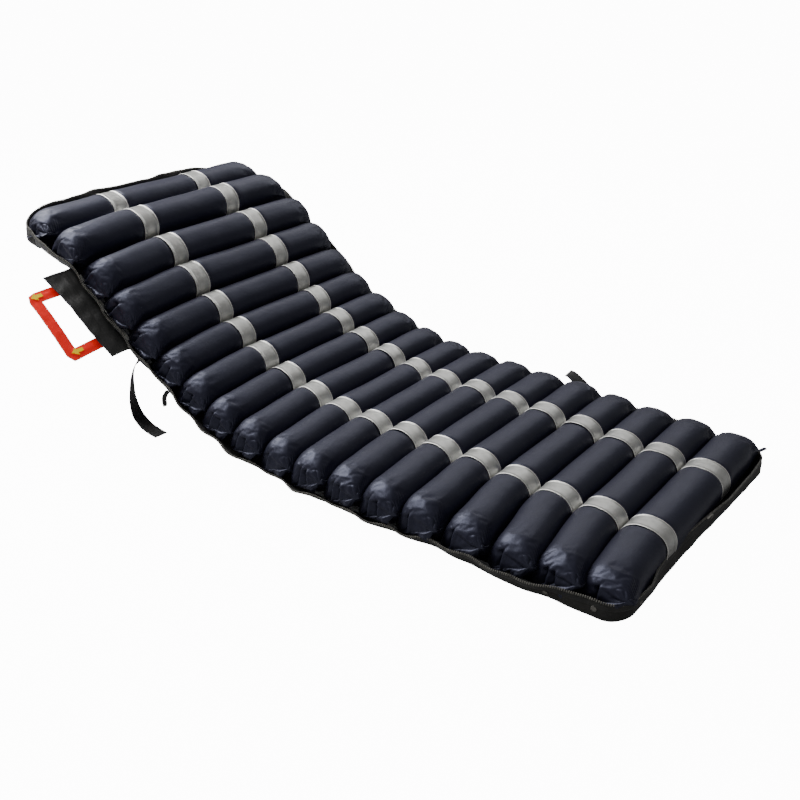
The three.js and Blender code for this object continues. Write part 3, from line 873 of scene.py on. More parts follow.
def flange(shell, section, centre, number, tip, side):
    """The flat welded end of a tube: a thin lip that droops, with its corners folded into ears."""
    source = np.random.default_rng(700 + number * 2 + (side > 0))
    slope, dome = (NEAR_SLOPE, NEAR_DOME) if side < 0 else (FAR_SLOPE, FAR_DOME)
    standing = 0.8 if side > 0 or number == 18 else 0.0
    width = cell_width(number)
    half = width / 2
    columns, rows = 72, 13
    x = np.linspace(-half * 0.86, half * 0.96, columns)
    big = source.uniform(32, 40) * MM * (0.45 if number == 1 else 1)
    small = source.uniform(10, 20) * MM
    ear = source.uniform(29, 35) * MM
    low = source.uniform(5, 9) * MM
    knots = np.array([x[0], -38 * MM, -28 * MM, -18 * MM, 8 * MM, ear, half - 6 * MM, x[-1]])
    drops = np.array([2 * MM, small, low, low, low - 1 * MM, big, big * 0.3, 2 * MM])
    if standing:
        spike = source.uniform(12, 22) * MM
        knots = np.array([x[0], -30 * MM, 0, 20 * MM, half - 8 * MM, x[-1]])
        drops = np.array([spike * 0.6, 7 * MM, 6 * MM, 8 * MM, spike, spike])
    length = np.interp(x, knots, drops)
    r = np.linspace(0, 1, rows)[:, None]
    line = tip - dome + end_depth(x, width, dome) - 1.5 * MM
    ruffle = Waves(800 + number * 2 + (side > 0), 12 * MM, 50 * MM)(x)
    droop = (1 - standing) * (1.3 + 0.2 * ruffle) + standing * (0.15 + 0.5 * ruffle)
    turn = droop * np.minimum(1, 0.45 + 1.2 * r)
    q = np.clip(1 - np.abs(x - ear) / (20 * MM), 0, 1)
    ridge = 6 * MM * q * (1 - r) ** 0.8 * smooth(r, 0, 0.15)
    crease = 2.2 * MM * q * (bump(r, 0.3, 0.07) - bump(r, 0.42, 0.08))
    facets = 1.5 * MM * np.abs(np.sin(x * 240 + number + 2.2 * r)) * np.sin(math.pi * r)
    bulge = (ridge - crease + facets) * (1 - standing)
    reach = line + length * r * np.cos(turn) + bulge
    z = ledge_height(x, slope) - length * r * np.sin(turn)
    if side < 0:
        reach = np.minimum(reach, wall_limit(z, number))
    sway = x + 3 * MM * r * np.sin(x * 70 + number) * np.minimum(1, length / (20 * MM))
    y = side * reach
    if side > 0:
        corner = FAR_EARS.get(number, 8) * MM * r * smooth(x, half - 22 * MM, half - 4 * MM)
        sway, z = sway + corner, z + 0.8 * corner
    points = in_section(section, centre + sway + drift(number, y), y, z)
    if side > 0:
        points = points[:, ::-1]
    # pale lines along the ear's folded edges and across its fold: painted highlights
    painted_fold_highlights = 0.7 * q * (bump(r, 0.3, 0.05) + bump(np.abs(x - ear), 11 * MM * (1 - r), 1.5 * MM))
    border_line = np.maximum(smooth(r, 0.86, 1.0), smooth(np.abs(x) / half, 0.93, 1.0))
    shell.sheet(points, np.full(z.shape, 1.0 * MM), np.maximum(border_line, painted_fold_highlights))


def make_cell(number, node, section):
    width = cell_width(number)
    centre = local_centre(node, section)
    points, dome, angle, near_tip, far_tip = cell_surface(number, width)
    points = sculpt_cell(crumpled(points, dome, number), dome, angle, number)
    x = centre + points[..., 0] + drift(number, points[..., 1])
    world = in_section(section, x, points[..., 1], points[..., 2])
    closed = np.concatenate([world, world[:, :1]], axis=1)
    shell = Shell()
    uv = surface_uv(closed)
    edge = smooth(np.abs(dome), 0.95, 1.0)[:, None] * np.ones(closed.shape[1]) * 0.4
    shell.grid(closed, edge=edge, uv=uv[..., ::-1], flip=True)
    flange(shell, section, centre, number, near_tip, -1)
    flange(shell, section, centre, number, far_tip, 1)
    place(shell.build(f"cell_{number:02d}", LOOKS["cell"]), section.name, node)


# ---------------------------------------------------------------- silver tapes

# distance from a tape's middle against how proud it stands: the woven edges are thicker
TAPE_PROFILE = np.array([(0, 0.25), (22.6, 0), (23.6, 0.9), (25.2, 0.9), (26, 0.1)]) * MM


def arch(shell, section, centre, width, side, number):
    """One tape over one cell, from valley to valley, pressed into it."""
    source = np.random.default_rng(1300 + number * 2 + (side > 0))
    angle = np.linspace(math.radians(-24), math.radians(204), 56)
    x, z = ring(width, angle, cell_height(number))
    x = x + drift(number, side * BAND_Y)
    lift = -GROOVE + 1.9 * MM
    nx, nz = np.cos(angle), np.sin(angle)
    half = np.array([8, 16, 22.6, 23.6, 24.6, 25.6, 26]) * MM
    across = np.concatenate([-half[::-1], [0], half])
    raised = np.interp(np.abs(across), *TAPE_PROFILE.T)
    skew = source.uniform(-2.5, 2.5) * MM
    shift = source.uniform(-3, 3) * MM + skew * np.cos(angle)[:, None]
    slack = Waves(1500 + number * 2 + (side > 0), 20 * MM, 90 * MM)(x)[:, None] * 0.5 * MM
    out = lift + raised[None] + slack
    px = centre + x[:, None] + nx[:, None] * out
    pz = z[:, None] + nz[:, None] * out
    py = side * BAND_Y + across[None] + shift
    points = in_section(section, px, py, pz)
    edge = np.broadcast_to(smooth(np.abs(across), 22.8 * MM, 23.4 * MM), px.shape)
    shell.sheet(points[:, ::-1], np.full(px.shape, 1.0 * MM), edge[:, ::-1])


def make_tapes(section, cells):
    for label, side in (("near", -1), ("far", 1)):
        shell = Shell()
        for number, node in cells:
            arch(shell, section, local_centre(node, section), cell_width(number), side, number)
        tape = shell.build(f"{label}_tape_{section.name}", LOOKS["silver"])
        place(tape, section.name, f"{label}_strip_{section.name}")


# ---------------------------------------------------------------- the fabric tray and its zip

CORNER = 60 * MM
WALL_TOP = 46 * MM
FLOOR_LIFT = 0.4 * MM
CLOTH = 1.4 * MM
TAPE_HEIGHT = 13 * MM
OUTLINE_STEP = 8 * MM
FLOOR_CENTRE = 380 * MM  # the floor's rays at the foot end meet this far from its wall
STRAIGHT = HALF_WIDTH - CORNER


def corner_point(out_s, out_y):
    """A point on a rounded foot corner of the outline, from the direction outwards."""
    return CORNER + CORNER * out_s, math.copysign(STRAIGHT, out_y) + CORNER * out_y, out_s, out_y


def outline(start, end):
    """The tray's edge from above, near side then far side, between two distances from the foot wall.

    Returns distance s, y, and the outward direction in s and y, for points that run along the edge.
    """
    has_foot, has_head = start <= 0, end >= LENGTH
    low = CORNER if has_foot else start
    high = LENGTH - CORNER if has_head else end
    count = max(2, round((high - low) / OUTLINE_STEP) + 1)
    side = np.linspace(low, high, count)
    near = [(s, -HALF_WIDTH, 0, -1) for s in side]
    far = [(s, HALF_WIDTH, 0, 1) for s in side]
    turn = np.linspace(0, math.pi / 2, 13)
    across = np.linspace(-STRAIGHT, STRAIGHT, round(2 * STRAIGHT / OUTLINE_STEP) + 1)
    foot = [corner_point(-math.sin(a), -math.cos(a)) for a in turn]
    foot += [(0, y, -1, 0) for y in across[1:-1]]
    foot += [corner_point(-math.cos(a), math.sin(a)) for a in turn]
    if has_foot:
        return np.array(near[::-1] + foot[1:-1] + far)
    if has_head:
        head = [(LENGTH - s, y, -ns, ny) for s, y, ns, ny in foot]
        return np.array(near + head[1:-1] + far[::-1])
    return near, far


FLOOR_WAVES = {-1: Waves(21, 90 * MM, 420 * MM, 5), 1: Waves(22, 90 * MM, 420 * MM, 5)}
RIM_WAVES = {-1: Waves(31, 70 * MM, 500 * MM), 1: Waves(32, 70 * MM, 500 * MM)}
HEAD_WAVES = Waves(42, 60 * MM, 400 * MM)
CREASES = Ripples(51, 22 * MM, 120 * MM, 18)
WALL_LENGTH = 48 * MM
NEAR_SPLAY = 26 * MM  # the near wall leans out by this much once clear of the foot corner
SLUMP_SPLAY = 11 * MM
FAR_SPLAY = 12 * MM
# distances from either end wall, in metres, over which a side wall starts to lean
FOOT_CLEAR, HEAD_CLEAR = (0.07, 0.23), (0.13, 0.04)
# y against how far the foot wall stands out, at its bottom and then its rim over its bottom
FOOT_BOTTOM = np.array([(-350, -3), (-300, -3), (-210, -4), (0, -3), (150, 1), (370, 8)]) * MM
FOOT_LEAN = np.array([
    (-380, 3), (-300, 8), (-240, -5), (-120, -14), (0, -4), (130, 8), (280, 4), (375, -4),
]) * MM
# y against height of the head wall, which stands higher than the sides
HEAD_HEIGHT = np.array([
    (-425, 52), (-340, 80), (-190, 84), (0, 88), (120, 85), (260, 76), (425, 50),
]) * MM


def wall_shape(edge, up):
    """How far the wall stands out of its outline, and its height, for up from 0 (floor) to 1 (rim)."""
    s, y, ns, ny = edge[:, 0], edge[:, 1], edge[:, 2], edge[:, 3]
    side, end = np.abs(ny) ** 2, np.abs(ns) ** 2
    far = y > 0
    at_foot = s < LENGTH / 2
    floor_wave = np.where(far, FLOOR_WAVES[1](s), FLOOR_WAVES[-1](s))
    rim_wave = np.where(far, RIM_WAVES[1](s), RIM_WAVES[-1](s))
    cells = np.cos(2 * math.pi * (s - END_MARGIN) / PITCH)
    head_clear = smooth(s, *(LENGTH - distance for distance in HEAD_CLEAR))
    clear = smooth(s, *FOOT_CLEAR) * (1 - head_clear)
    splay = np.where(far, FAR_SPLAY, NEAR_SPLAY + SLUMP_SPLAY * slump(s)) * clear
    side_lean = splay + (3.5 * rim_wave + 2.5 * cells) * MM * clear
    foot_bottom = np.interp(y, FOOT_BOTTOM[:, 0], FOOT_BOTTOM[:, 1])
    foot_lean = np.interp(y, FOOT_LEAN[:, 0], FOOT_LEAN[:, 1])
    head_wave = HEAD_WAVES(y)
    bottom = side * 7 * MM * floor_wave + end * np.where(at_foot, foot_bottom, 2 * MM * head_wave)
    lean = side * side_lean + end * np.where(at_foot, foot_lean, 4 * MM + 5 * MM * head_wave)
    tall = np.where(at_foot, WALL_LENGTH, np.interp(y, HEAD_HEIGHT[:, 0], HEAD_HEIGHT[:, 1]))
    tall = side * WALL_LENGTH + end * tall + 3 * MM * end * np.where(at_foot, 0.3, 1.0) * head_wave
    height = np.sqrt(tall ** 2 - lean ** 2) + side * clear * 2.5 * MM * rim_wave
    u = up[None, :]
    belly = 2.5 * MM * np.sin(math.pi * u)
    along = (s + np.abs(y))[:, None]
    fine = CREASES(along, u * WALL_TOP * 1.3) * 1.8 * MM * np.sin(math.pi * np.clip(u, 0, 0.97))
    reach = bottom[:, None] + lean[:, None] * u ** 1.1 + belly + fine
    return reach, height[:, None] * u


def tray_grid(edge, inner=None):
    """Floor and wall over a run of outline points: rows follow the outline, columns run inwards out.

    The floor starts from mid width, or, for the head wall's own piece, from the line s = inner.
    """
    s, y, ns, ny = (edge[:, i][:, None] for i in range(4))
    up = np.concatenate([[0, 0.06, 0.13], np.linspace(0.2, 1.0, 13)])
    reach, height = wall_shape(edge, up)
    round_in = 7 * MM * (1 - smooth(up, 0, 0.2))[None]
    wall_s = s + ns * (reach - round_in)
    wall_y = y + ny * (reach - round_in)
    centre_s = np.maximum(s, FLOOR_CENTRE)
    share = np.linspace(0, 1, 12)[None, :-1]
    floor_s = centre_s + (wall_s[:, :1] - centre_s) * share
    floor_y = wall_y[:, :1] * share
    if inner is not None:
        floor_s = inner + (wall_s[:, :1] - inner) * share
        floor_y = wall_y[:, :1] + 0 * share
    low = FLOOR_LIFT * np.ones_like(floor_s)
    all_s = np.concatenate([floor_s, wall_s], axis=1)
    all_y = np.concatenate([floor_y, wall_y], axis=1)
    all_h = np.concatenate([low, np.maximum(height, FLOOR_LIFT)], axis=1)
    return all_s, all_y, all_h


def rim_line(edge):
    """The top edge of the wall: s, y, outward s, outward y, height and distance along it."""
    reach, height = wall_shape(edge, np.array([1.0]))
    s = edge[:, 0] + edge[:, 2] * reach[:, 0]
    y = edge[:, 1] + edge[:, 3] * reach[:, 0]
    return s, y, height[:, 0]


def zip_run(shell, edge):
    """Zip tape sewn round the outside of the rim, with its row of teeth."""
    low = 1 - TAPE_HEIGHT / WALL_TOP
    up = np.array([low, low + 0.02, 0.8, 0.9, 1.0])
    reach, height = wall_shape(edge, up)
    proud = np.array([0.2, 1.1, 1.2, 1.3, 1.4]) * MM
    s = edge[:, :1] + edge[:, 2:3] * (reach + proud)
    y = edge[:, 1:2] + edge[:, 3:4] * (reach + proud)
    height = height + np.array([0, 0, 0, 0, 1.5]) * MM
    points = to_world(s, y, height)
    shell.sheet(points[:, ::-1], np.full(s.shape, 1.3 * MM))


TOOTH_PITCH = 5 * MM
TOOTH_FOOT, TOOTH_TOP = 0.6 * MM, 4.4 * MM  # heights above the rim
TOOTH_LENGTH, TOOTH_WIDTH = 1.5 * MM, 2.2 * MM  # half sizes
TOOTH_TAPER = 0.4 * MM


def teeth_run(shell, edge):
    """A row of small blocks along the tape's top edge."""
    s, y, height = rim_line(edge)
    out_s, out_y = edge[:, 2], edge[:, 3]
    length = np.concatenate([[0], np.cumsum(np.hypot(np.diff(s), np.diff(y)))])
    count = max(1, int(length[-1] / TOOTH_PITCH))
    at = (np.arange(count) + 0.5) * length[-1] / count
    mid_s, mid_y = np.interp(at, length, s), np.interp(at, length, y)
    mid_h = np.interp(at, length, height)
    n_s, n_y = np.interp(at, length, out_s), np.interp(at, length, out_y)
    size = np.hypot(n_s, n_y)
    n_s, n_y = n_s / size, n_y / size
    for i in range(count):
        corners = []
        for rise, inset in ((TOOTH_FOOT, 0), (TOOTH_TOP, TOOTH_TAPER)):
            for a, b in ((-1, -1), (1, -1), (1, 1), (-1, 1)):
                along = a * (TOOTH_LENGTH - inset)
                out = TOOTH_FOOT + b * (TOOTH_WIDTH - inset)
                corners.append((
                    mid_s[i] + n_s[i] * out - n_y[i] * along,
                    mid_y[i] + n_y[i] * out + n_s[i] * along,
                    mid_h[i] + rise,
                ))
        corners = np.array(corners)
        shell.box(to_world(corners[:, 0], corners[:, 1], corners[:, 2]))


def tray_ranges():
    """Runs of the tray: (name, start, end, body, next body or None)."""
    runs = []
    position = 0.0
    for before, after in zip(SECTIONS, SECTIONS[1:]):
        low, high = after.start - BEND_HALF, after.start + BEND_HALF
        if low - position > 1 * MM:
            runs.append((before.name, position, low, before.name, None))
        runs.append((f"{before.name}_to_{after.name}", low, high, before.name, after.name))
        position = high
    runs.append((SECTIONS[-1].name, position, LENGTH, SECTIONS[-1].name, None))
    return runs


def attach(piece, start, end, body, other):
    if other is None:
        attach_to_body(piece, body)
        return
    a = to_world(start, 0, 0)
    b = to_world(end, 0, 0)
    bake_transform(piece)


def make_tray():
    cloths = {}
    for name, start, end, body, other in tray_ranges():
        cloth, tape, teeth = Shell(), Shell(), Shell()
        runs = outline(start, end)
        if isinstance(runs, tuple):
            near, far = (np.array(run) for run in runs)
            runs = [near[::-1], far]
        else:
            runs = [runs if start <= 0 else runs[::-1]]
        for edge in runs:
            s, y, h = tray_grid(edge, start if end >= LENGTH else None)
            cloth.sheet(to_world(s, y, h), np.full(s.shape, -CLOTH))
            zip_run(tape, edge)
            teeth_run(teeth, edge)
        short = name.replace("_section", "")
        parts = [
            ("tray", cloth, "tray", "tray_fabric"),
            ("zip_tape", tape, "tape", "tray_fabric"),
            ("zip_teeth", teeth, "teeth", "zip_metal"),
        ]
        for kind, shell, look, slot in parts:
            piece = shell.build(f"{kind}_{short}", LOOKS[look], flat=kind == "zip_teeth")
            attach(piece, start, end, body, other)
            if kind == "tray" and (end >= LENGTH or (other or body) not in cloths):
                cloths[other or body] = piece
    for section in SECTIONS:
        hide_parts(f"base_{section.name}")


# ---------------------------------------------------------------- release flap and red pull

FLAP_HINGE_HEIGHT = 25 * MM
FLAP_START = 438 * MM  # the flap is sewn on here, on the leaning wall
FLAP_HALF = 143 * MM
PULL_BAND = 33 * MM
PULL_LIFT = 11 * MM
PULL_TAIL = 462 * MM


def box_in_section(node, section):
    """A CAD node's middle along its section, and how far it reaches to the near side."""
    return local_centre(node, section), -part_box(node)[0].y


def make_flap():
    """A loose rectangle of tray cloth with a hem, a little wider at the head end."""
    section = SECTION_OF["back_section"]
    middle, reach = box_in_section("cpr_flap", section)
    x = np.linspace(-FLAP_HALF, FLAP_HALF, 90)[None]
    v = np.linspace(0, 1, 36)[:, None]
    outer = reach + 1 * MM - 11 * MM * x / FLAP_HALF + 3 * MM * np.sin(math.pi * (x / FLAP_HALF))
    y = FLAP_START + (outer - FLAP_START) * v + 0 * x
    wrinkle = Ripples(61, 26 * MM, 150 * MM)(x, y) * 2.4 * MM
    roll = 3 * MM * np.sin(2.2 * x / FLAP_HALF + 1.2 * v) * v
    z = FLAP_HINGE_HEIGHT - 5 * MM * v + (wrinkle + roll) * smooth(v, 0, 0.3)
    away = np.abs(x)
    hem = np.maximum(smooth(v, 0.955, 0.965), smooth(away, FLAP_HALF - 4 * MM, FLAP_HALF - 3.4 * MM))
    stitches = np.maximum(bump(v, 0.9, 0.006), bump(away, FLAP_HALF - 8 * MM, 0.8 * MM))
    z = z + 0.7 * MM * hem - 0.5 * MM * stitches
    points = in_section(section, middle + x + 0 * v, -y, z)
    shell = Shell()
    shell.sheet(points[:, ::-1], np.full(points.shape[:2], -1.5 * MM), 0.35 * hem * np.ones_like(y))
    place(shell.build("release_flap", LOOKS["flap"]), "cpr_flap_body", "cpr_flap")


def mitred(path, half, count):
    """A flat band along a path of (x, y) corners, with each joint cut at half the turn."""
    path = np.array(path)
    step = np.diff(path, axis=0)
    step /= np.linalg.norm(step, axis=1, keepdims=True)
    left = np.stack([-step[:, 1], step[:, 0]], axis=1)
    joint = np.concatenate([left[:1], left[:-1] + left[1:], left[-1:]])
    joint /= np.linalg.norm(joint, axis=1, keepdims=True)
    scale = np.concatenate([[1], 1 / (joint[1:-1] * left[1:]).sum(1), [1]])
    side = joint * scale[:, None]
    length = np.concatenate([[0], np.cumsum(np.linalg.norm(np.diff(path, axis=0), axis=1))])
    at = np.unique(np.concatenate([np.linspace(0, length[-1], count), length]))
    centre = np.stack([np.interp(at, length, path[:, i]) for i in (0, 1)], axis=1)
    across = np.stack([np.interp(at, length, side[:, i]) for i in (0, 1)], axis=1)
    w = np.linspace(-1, 1, 25)[:, None, None]
    return centre[None] + across[None] * w * half, w[..., 0]


def pull_height(x, y):
    """The pull lies under the flap and droops a little beyond it."""
    beyond = smooth(-y, 500 * MM, 600 * MM)
    return PULL_LIFT + (2.5 * MM * np.sin(x * 22) - 3 * MM) * beyond


def make_pull():
    section = SECTION_OF["back_section"]
    middle, reach = box_in_section("cpr_pull_handle", section)
    half = PULL_BAND / 2
    bar = reach - half + 2 * MM
    head_leg, foot_leg = middle - 115 * MM + half, middle + 105 * MM - half
    path = [
        (head_leg, -PULL_TAIL),
        (head_leg, 14 * MM - bar),
        (head_leg + 3 * MM, 5 * MM - bar),
        (head_leg + 12 * MM, 1 * MM - bar),
        (foot_leg - 3 * MM, -bar - 5 * MM),
        (foot_leg + 4 * MM, -bar - 1 * MM),
        (foot_leg - 5 * MM, -PULL_TAIL),
    ]
    flat, w = mitred(path, half, 110)
    x, y = flat[..., 0], flat[..., 1]
    z = pull_height(x, y) + 1.2 * MM * bump(w, 0, 0.5) + 0.8 * MM * Ripples(64, 14 * MM, 70 * MM)(x, y)
    # paler colour along both long edges of the pull: a painted highlight
    edge = np.broadcast_to(smooth(np.abs(w), 0.86, 0.95), x.shape)
    shell = Shell()
    shell.sheet(in_section(section, x, y, z), np.full(x.shape, 2.2 * MM), edge)
    place(shell.build("release_pull", LOOKS["red"]), "cpr_pull", "cpr_pull_handle")
    arrows = Shell()
    for tip_x in (head_leg - 2 * MM, foot_leg - 2 * MM):
        arrow(arrows, section, tip_x, -bar - 6 * MM)
    place(arrows.build("release_arrows", LOOKS["yellow"], flat=True), "cpr_pull")


def arrow(shell, section, x, y):
    """A printed arrow that points outwards, its tip at x, y."""
    head = [(0, 0), (-12, 17), (0, 16), (12, 17)]
    shaft = [(-5, 16.5), (-5, 34), (5, 34), (5, 16.5)]
    for block in (head, shaft):
        corners = []
        for lift in (1.2 * MM, 3.2 * MM):
            for a, b in block:
                px, py = x + a * MM, y + b * MM
                corners.append((px, py, pull_height(px, py) + lift))
        corners = np.array(corners)
        shell.box(in_section(section, corners[:, 0], corners[:, 1], corners[:, 2]))


# ---------------------------------------------------------------- straps, cord and press studs

STRAP_HALF = 19 * MM


def catmull(points, count):
    """A smooth line through the points."""
    points = np.array(points, float)
    padded = np.concatenate([2 * points[:1] - points[1:2], points, 2 * points[-1:] - points[-2:-1]])
    at = np.linspace(0, len(points) - 1 - 1e-9, count)
    index = at.astype(int)
    t = (at - index)[:, None]
    a, b, c, d = (padded[index + k] for k in range(4))
    square = (2 * a - 5 * b + 4 * c - d) * t ** 2
    cube = (3 * b - a - 3 * c + d) * t ** 3
    return 0.5 * (2 * b + (c - a) * t + square + cube)


def ribbon(shell, line, sides, half, thickness=1.6 * MM):
    """A strap along a line, with its width along the given directions, and a bound edge."""
    centre = catmull(line, 12 * len(line))
    side = catmull(sides, 12 * len(line))
    side /= np.linalg.norm(side, axis=1, keepdims=True)
    w = np.linspace(-1, 1, 13)[:, None, None]
    points = centre[None] + side[None] * w * half
    edge = np.broadcast_to(smooth(np.abs(w[..., 0]), 0.8, 0.95), points.shape[:2])
    shell.sheet(points, np.full(points.shape[:2], thickness), edge)


def joint_place(name):
    for joint in RECORD["behaviour"]["joints"]:
        if joint["name"] == name:
            return np.array(joint["pos_m"])
    raise KeyError(name)


def make_strap(name, joint, body, node, offsets, sides):
    """offsets are from the strap's joint, in millimetres."""
    line = joint_place(joint) + np.array(offsets) * MM
    shell = Shell()
    ribbon(shell, line, sides, STRAP_HALF)
    place(shell.build(name, LOOKS["webbing"]), body, node)


def make_straps():
    edge_on, level = (-0.62, 0.78, 0), (0.15, 0.98, 0.05)
    make_strap(
        "strap_near", "near_strap_swing", "near_strap", "hold_down_strap_near",
        [
            (-14, 14, 26), (-22, 2, 12), (-33, -4, -23), (-41, -4, -72), (-40, -4, -105),
            (-27, -4, -139), (4, -5, -160), (34, -5, -168), (66, -6, -170.5),
        ],
        [
            edge_on, edge_on, edge_on, (-0.5, 0.86, 0), (-0.35, 0.93, 0), (-0.15, 0.98, 0.05),
            (0, 1, 0.05), level, level,
        ],
    )
    make_strap(
        "strap_far_foot", "far_foot_strap_swing", "far_foot_strap", "hold_down_strap_far_foot",
        [(6, -14, -4), (-10, 2, 3), (-32, 4, 9), (-72, 5, 34), (-100, 6, 50), (-114, 5, 53)],
        [(0, 1, 0), (0.1, 1, 0.1), (0.15, 1, 0.2), (0.2, 1, 0.25), (0.1, 1, 0.15), (0, 1, 0.1)],
    )
    make_strap(
        "strap_far_back", "far_back_strap_swing", "far_back_strap", "hold_down_strap_far_back",
        [(4, -12, 2), (-8, 0, -8), (-22, 3, -23), (-56, 4, -33), (-90, 4, -34.5), (-120, 3, -35)],
        [(0, 1, 0), (0.05, 1, 0.05), (0.1, 1, 0.05), (0, 1, 0), (0, 1, 0), (0, 1, 0)],
    )


CORD_HALF = 4.5 * MM


def make_cord():
    low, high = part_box("cord_loop")
    top = np.array([low.x - 22 * MM, low.y - 4 * MM, high.z])
    offsets = [
        (0, 18, 14), (1, 4, 2), (3, 0, -12), (9, -2, -23),
        (12, -1, -16), (9, 1, -5), (8, 6, 4), (7, 18, 12),
    ]
    sides = [(0.75, 0.5, 0.1)] * 3 + [(0.6, 0.7, 0.3)] + [(0.7, 0.6, 0.1)] * 4
    shell = Shell()
    ribbon(shell, top + np.array(offsets) * MM, sides, CORD_HALF, 1.2 * MM)
    place(shell.build("cord", LOOKS["webbing"]), "bend_4", "cord_loop")


STUD_RADIUS = 7 * MM
# a stud's profile from its middle outwards: radius as a share of STUD_RADIUS, and height
STUD_PROFILE = np.array([(0.05, 2.9), (0.35, 2.8), (0.7, 2.2), (0.78, 1.7), (0.95, 1.8), (1.0, 0.0)])
# press studs on the wall: a point of the outline as (s, y, outward s, outward y), and how far up
STUDS = [
    ((174 * MM, -HALF_WIDTH, 0, -1), 0.55),
    ((66 * MM, -HALF_WIDTH, 0, -1), 0.6),
    ((0, -340 * MM, -1, 0), 0.5),
    ((1520 * MM, -HALF_WIDTH, 0, -1), 0.55),
    ((1880 * MM, -HALF_WIDTH, 0, -1), 0.55),
]


def stud(shell, edge, up):
    """A domed metal press stud on the outside of the wall."""
    reach, height = wall_shape(np.array([edge]), np.array([up - 0.08, up, up + 0.08]))
    s, y, ns, ny = edge
    low, middle, high = to_world(s + ns * reach[0], y + ny * reach[0], height[0])
    rise = (high - low) / np.linalg.norm(high - low)
    along = to_world(s + ny * 1 * MM, y - ns * 1 * MM, 0) - to_world(s, y, 0)
    along /= np.linalg.norm(along)
    out = np.cross(along, rise)
    if out @ (to_world(s + ns * MM, y + ny * MM, 0) - to_world(s, y, 0)) < 0:
        out = -out
    radii = STUD_PROFILE[:, 0, None, None] * STUD_RADIUS
    lifts = STUD_PROFILE[:, 1, None, None] * MM
    turn = np.linspace(0, 2 * math.pi, 25)[None, :, None]
    shell.grid(middle + out * lifts + radii * (along * np.cos(turn) + rise * np.sin(turn)))


def make_studs():
    for number, (edge, up) in enumerate(STUDS):
        shell = Shell()
        stud(shell, edge, up)
        piece = shell.build(f"press_stud_{number + 1}", LOOKS["metal"])
        index = int(np.searchsorted(STARTS, edge[0] + 1e-6, side="right")) - 1
        place(piece, SECTIONS[max(index, 0)].name)


# ---------------------------------------------------------------- stage

AMBIENT = 0.2
BACKDROP = 16.0  # how bright the surroundings look to the camera alone
FLOOR_GLOW = 13.0
FLOOR_COLOUR = (0.4, 0.4, 0.4, 1)
FLOOR_SIZE = 30
FLOOR_DROP = 1.5 * MM  # below the lowest point of the tray
LIGHT_TARGET = (-0.5, 0, 0.15)
LIGHTS = [  # name, position, size, power in watts
    ("key", (-3.0, -0.4, 2.6), (2.8, 2.2), 190),
    ("far", (-1.6, 2.8, 2.3), (3.4, 1.2), 26),
    ("front", (1.6, -3.2, 1.2), (2.6, 1.2), 7),
]


def camera_only(tree, strength):
    """A socket that is the strength for rays from the camera and 0 for all others."""
    path = tree.nodes.new("ShaderNodeLightPath")
    product = tree.nodes.new("ShaderNodeMath")
    product.operation = "MULTIPLY"
    product.inputs[1].default_value = strength
    tree.links.new(path.outputs["Is Camera Ray"], product.inputs[0])
    return product.outputs[0]


def floor_look():
    """A pale matt floor that also glows towards the camera, so that only a faint shadow shows."""
    look = Look("studio_floor")
    look.set(Base_Color=FLOOR_COLOUR, Roughness=0.95, Emission_Color=(1, 1, 1, 1))
    look.set(Emission_Strength=camera_only(look.tree, FLOOR_GLOW))
    return look.material


def make_stage():
    bpy.ops.mesh.primitive_plane_add(size=FLOOR_SIZE, location=(0, 0, -FLOOR_DROP))
    floor = bpy.context.object
    floor.name = "studio_floor"
    floor.data.materials.append(floor_look())
    world = bpy.data.worlds.new("studio")
    bpy.context.scene.world = world
    world.use_nodes = True
    tree = world.node_tree
    background = tree.nodes["Background"]
    background.inputs["Color"].default_value = (1, 1, 1, 1)
    brightness = tree.nodes.new("ShaderNodeMath")
    brightness.inputs[1].default_value = AMBIENT
    tree.links.new(camera_only(tree, BACKDROP), brightness.inputs[0])
    tree.links.new(brightness.outputs[0], background.inputs["Strength"])


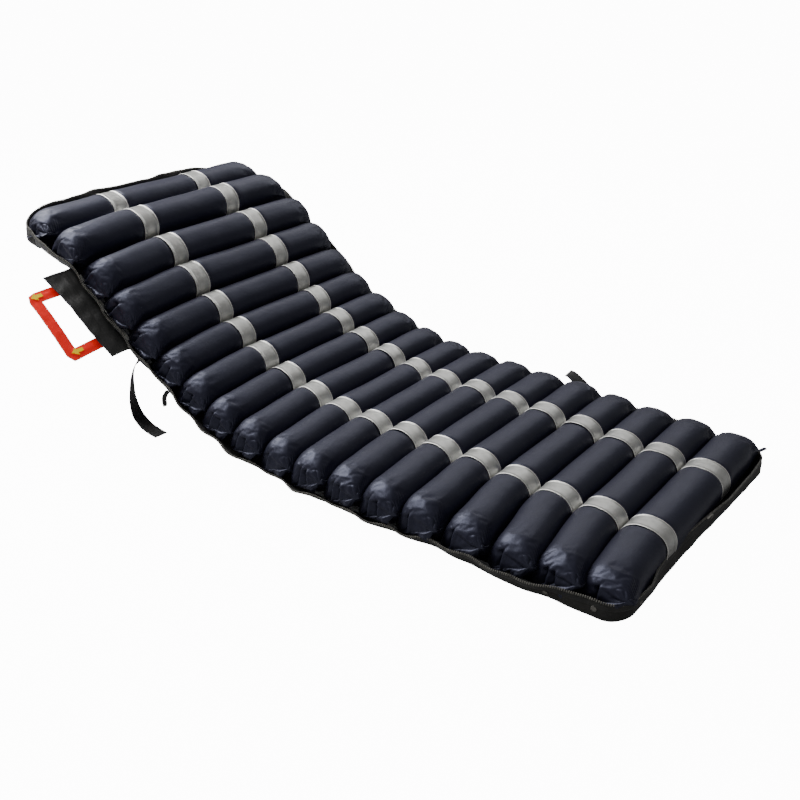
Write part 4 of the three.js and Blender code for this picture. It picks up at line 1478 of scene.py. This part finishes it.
def area_light(name, position, size, power):
    data = bpy.data.lights.new(name, "AREA")
    data.shape = "RECTANGLE"
    data.size, data.size_y = size
    data.energy = power
    lamp = bpy.data.objects.new(name, data)
    lamp.location = position
    towards = Vector(LIGHT_TARGET) - Vector(position)
    lamp.rotation_euler = towards.to_track_quat("-Z", "Y").to_euler()
    bpy.context.scene.collection.objects.link(lamp)


def make_lights():
    for light in LIGHTS:
        area_light(*light)


CAMERA_PLACE = Vector((1.0008, -2.0170, 1.3388))
CAMERA_AZIMUTH = 36.1
CAMERA_ELEVATION = 26.7
CAMERA_ROLL = 1.48
CAMERA_LENS = 45.58
CAMERA_SENSOR = 36.0


def make_camera():
    data = bpy.data.cameras.new("camera")
    data.lens = CAMERA_LENS
    data.sensor_width = CAMERA_SENSOR
    camera = bpy.data.objects.new("camera", data)
    azimuth, elevation = math.radians(CAMERA_AZIMUTH), math.radians(CAMERA_ELEVATION)
    back = Vector((
        math.sin(azimuth) * math.cos(elevation),
        -math.cos(azimuth) * math.cos(elevation),
        math.sin(elevation),
    ))
    turn = (-back).to_track_quat("-Z", "Y").to_matrix()
    roll = Matrix.Rotation(math.radians(CAMERA_ROLL), 3, "Z")
    camera.matrix_world = Matrix.Translation(CAMERA_PLACE) @ (turn @ roll).to_4x4()
    bpy.context.scene.collection.objects.link(camera)
    bpy.context.scene.camera = camera


# ---------------------------------------------------------------- assembly

def make_cells():
    for section in SECTIONS:
        cells = []
        for node in BODIES[section.name]:
            if node.startswith("air_cell_"):
                number = int(node.rsplit("_", 1)[1])
                cells.append((number, node))
                make_cell(number, node, section)
        make_tapes(section, cells)


def finish_cad_nodes():
    looks = {
        "pale_plastic": "plastic",
        "clear_hose": "hose",
        "zip_metal": "metal",
        "tray_fabric": "tray",
        "black_webbing": "webbing",
        "red_vinyl": "red",
        "silver_webbing": "silver",
        "cell_nylon": "cell",
    }
    for part in RECORD["subparts"]:
        node = frame["nodes"][part["node"]]
        node.data.materials.clear()
        node.data.materials.append(LOOKS[looks[part["material_slot"]]])


make_stage()
make_lights()
make_camera()
make_cells()
make_tray()
make_flap()
make_pull()
make_straps()
make_cord()
make_studs()
finish_cad_nodes()
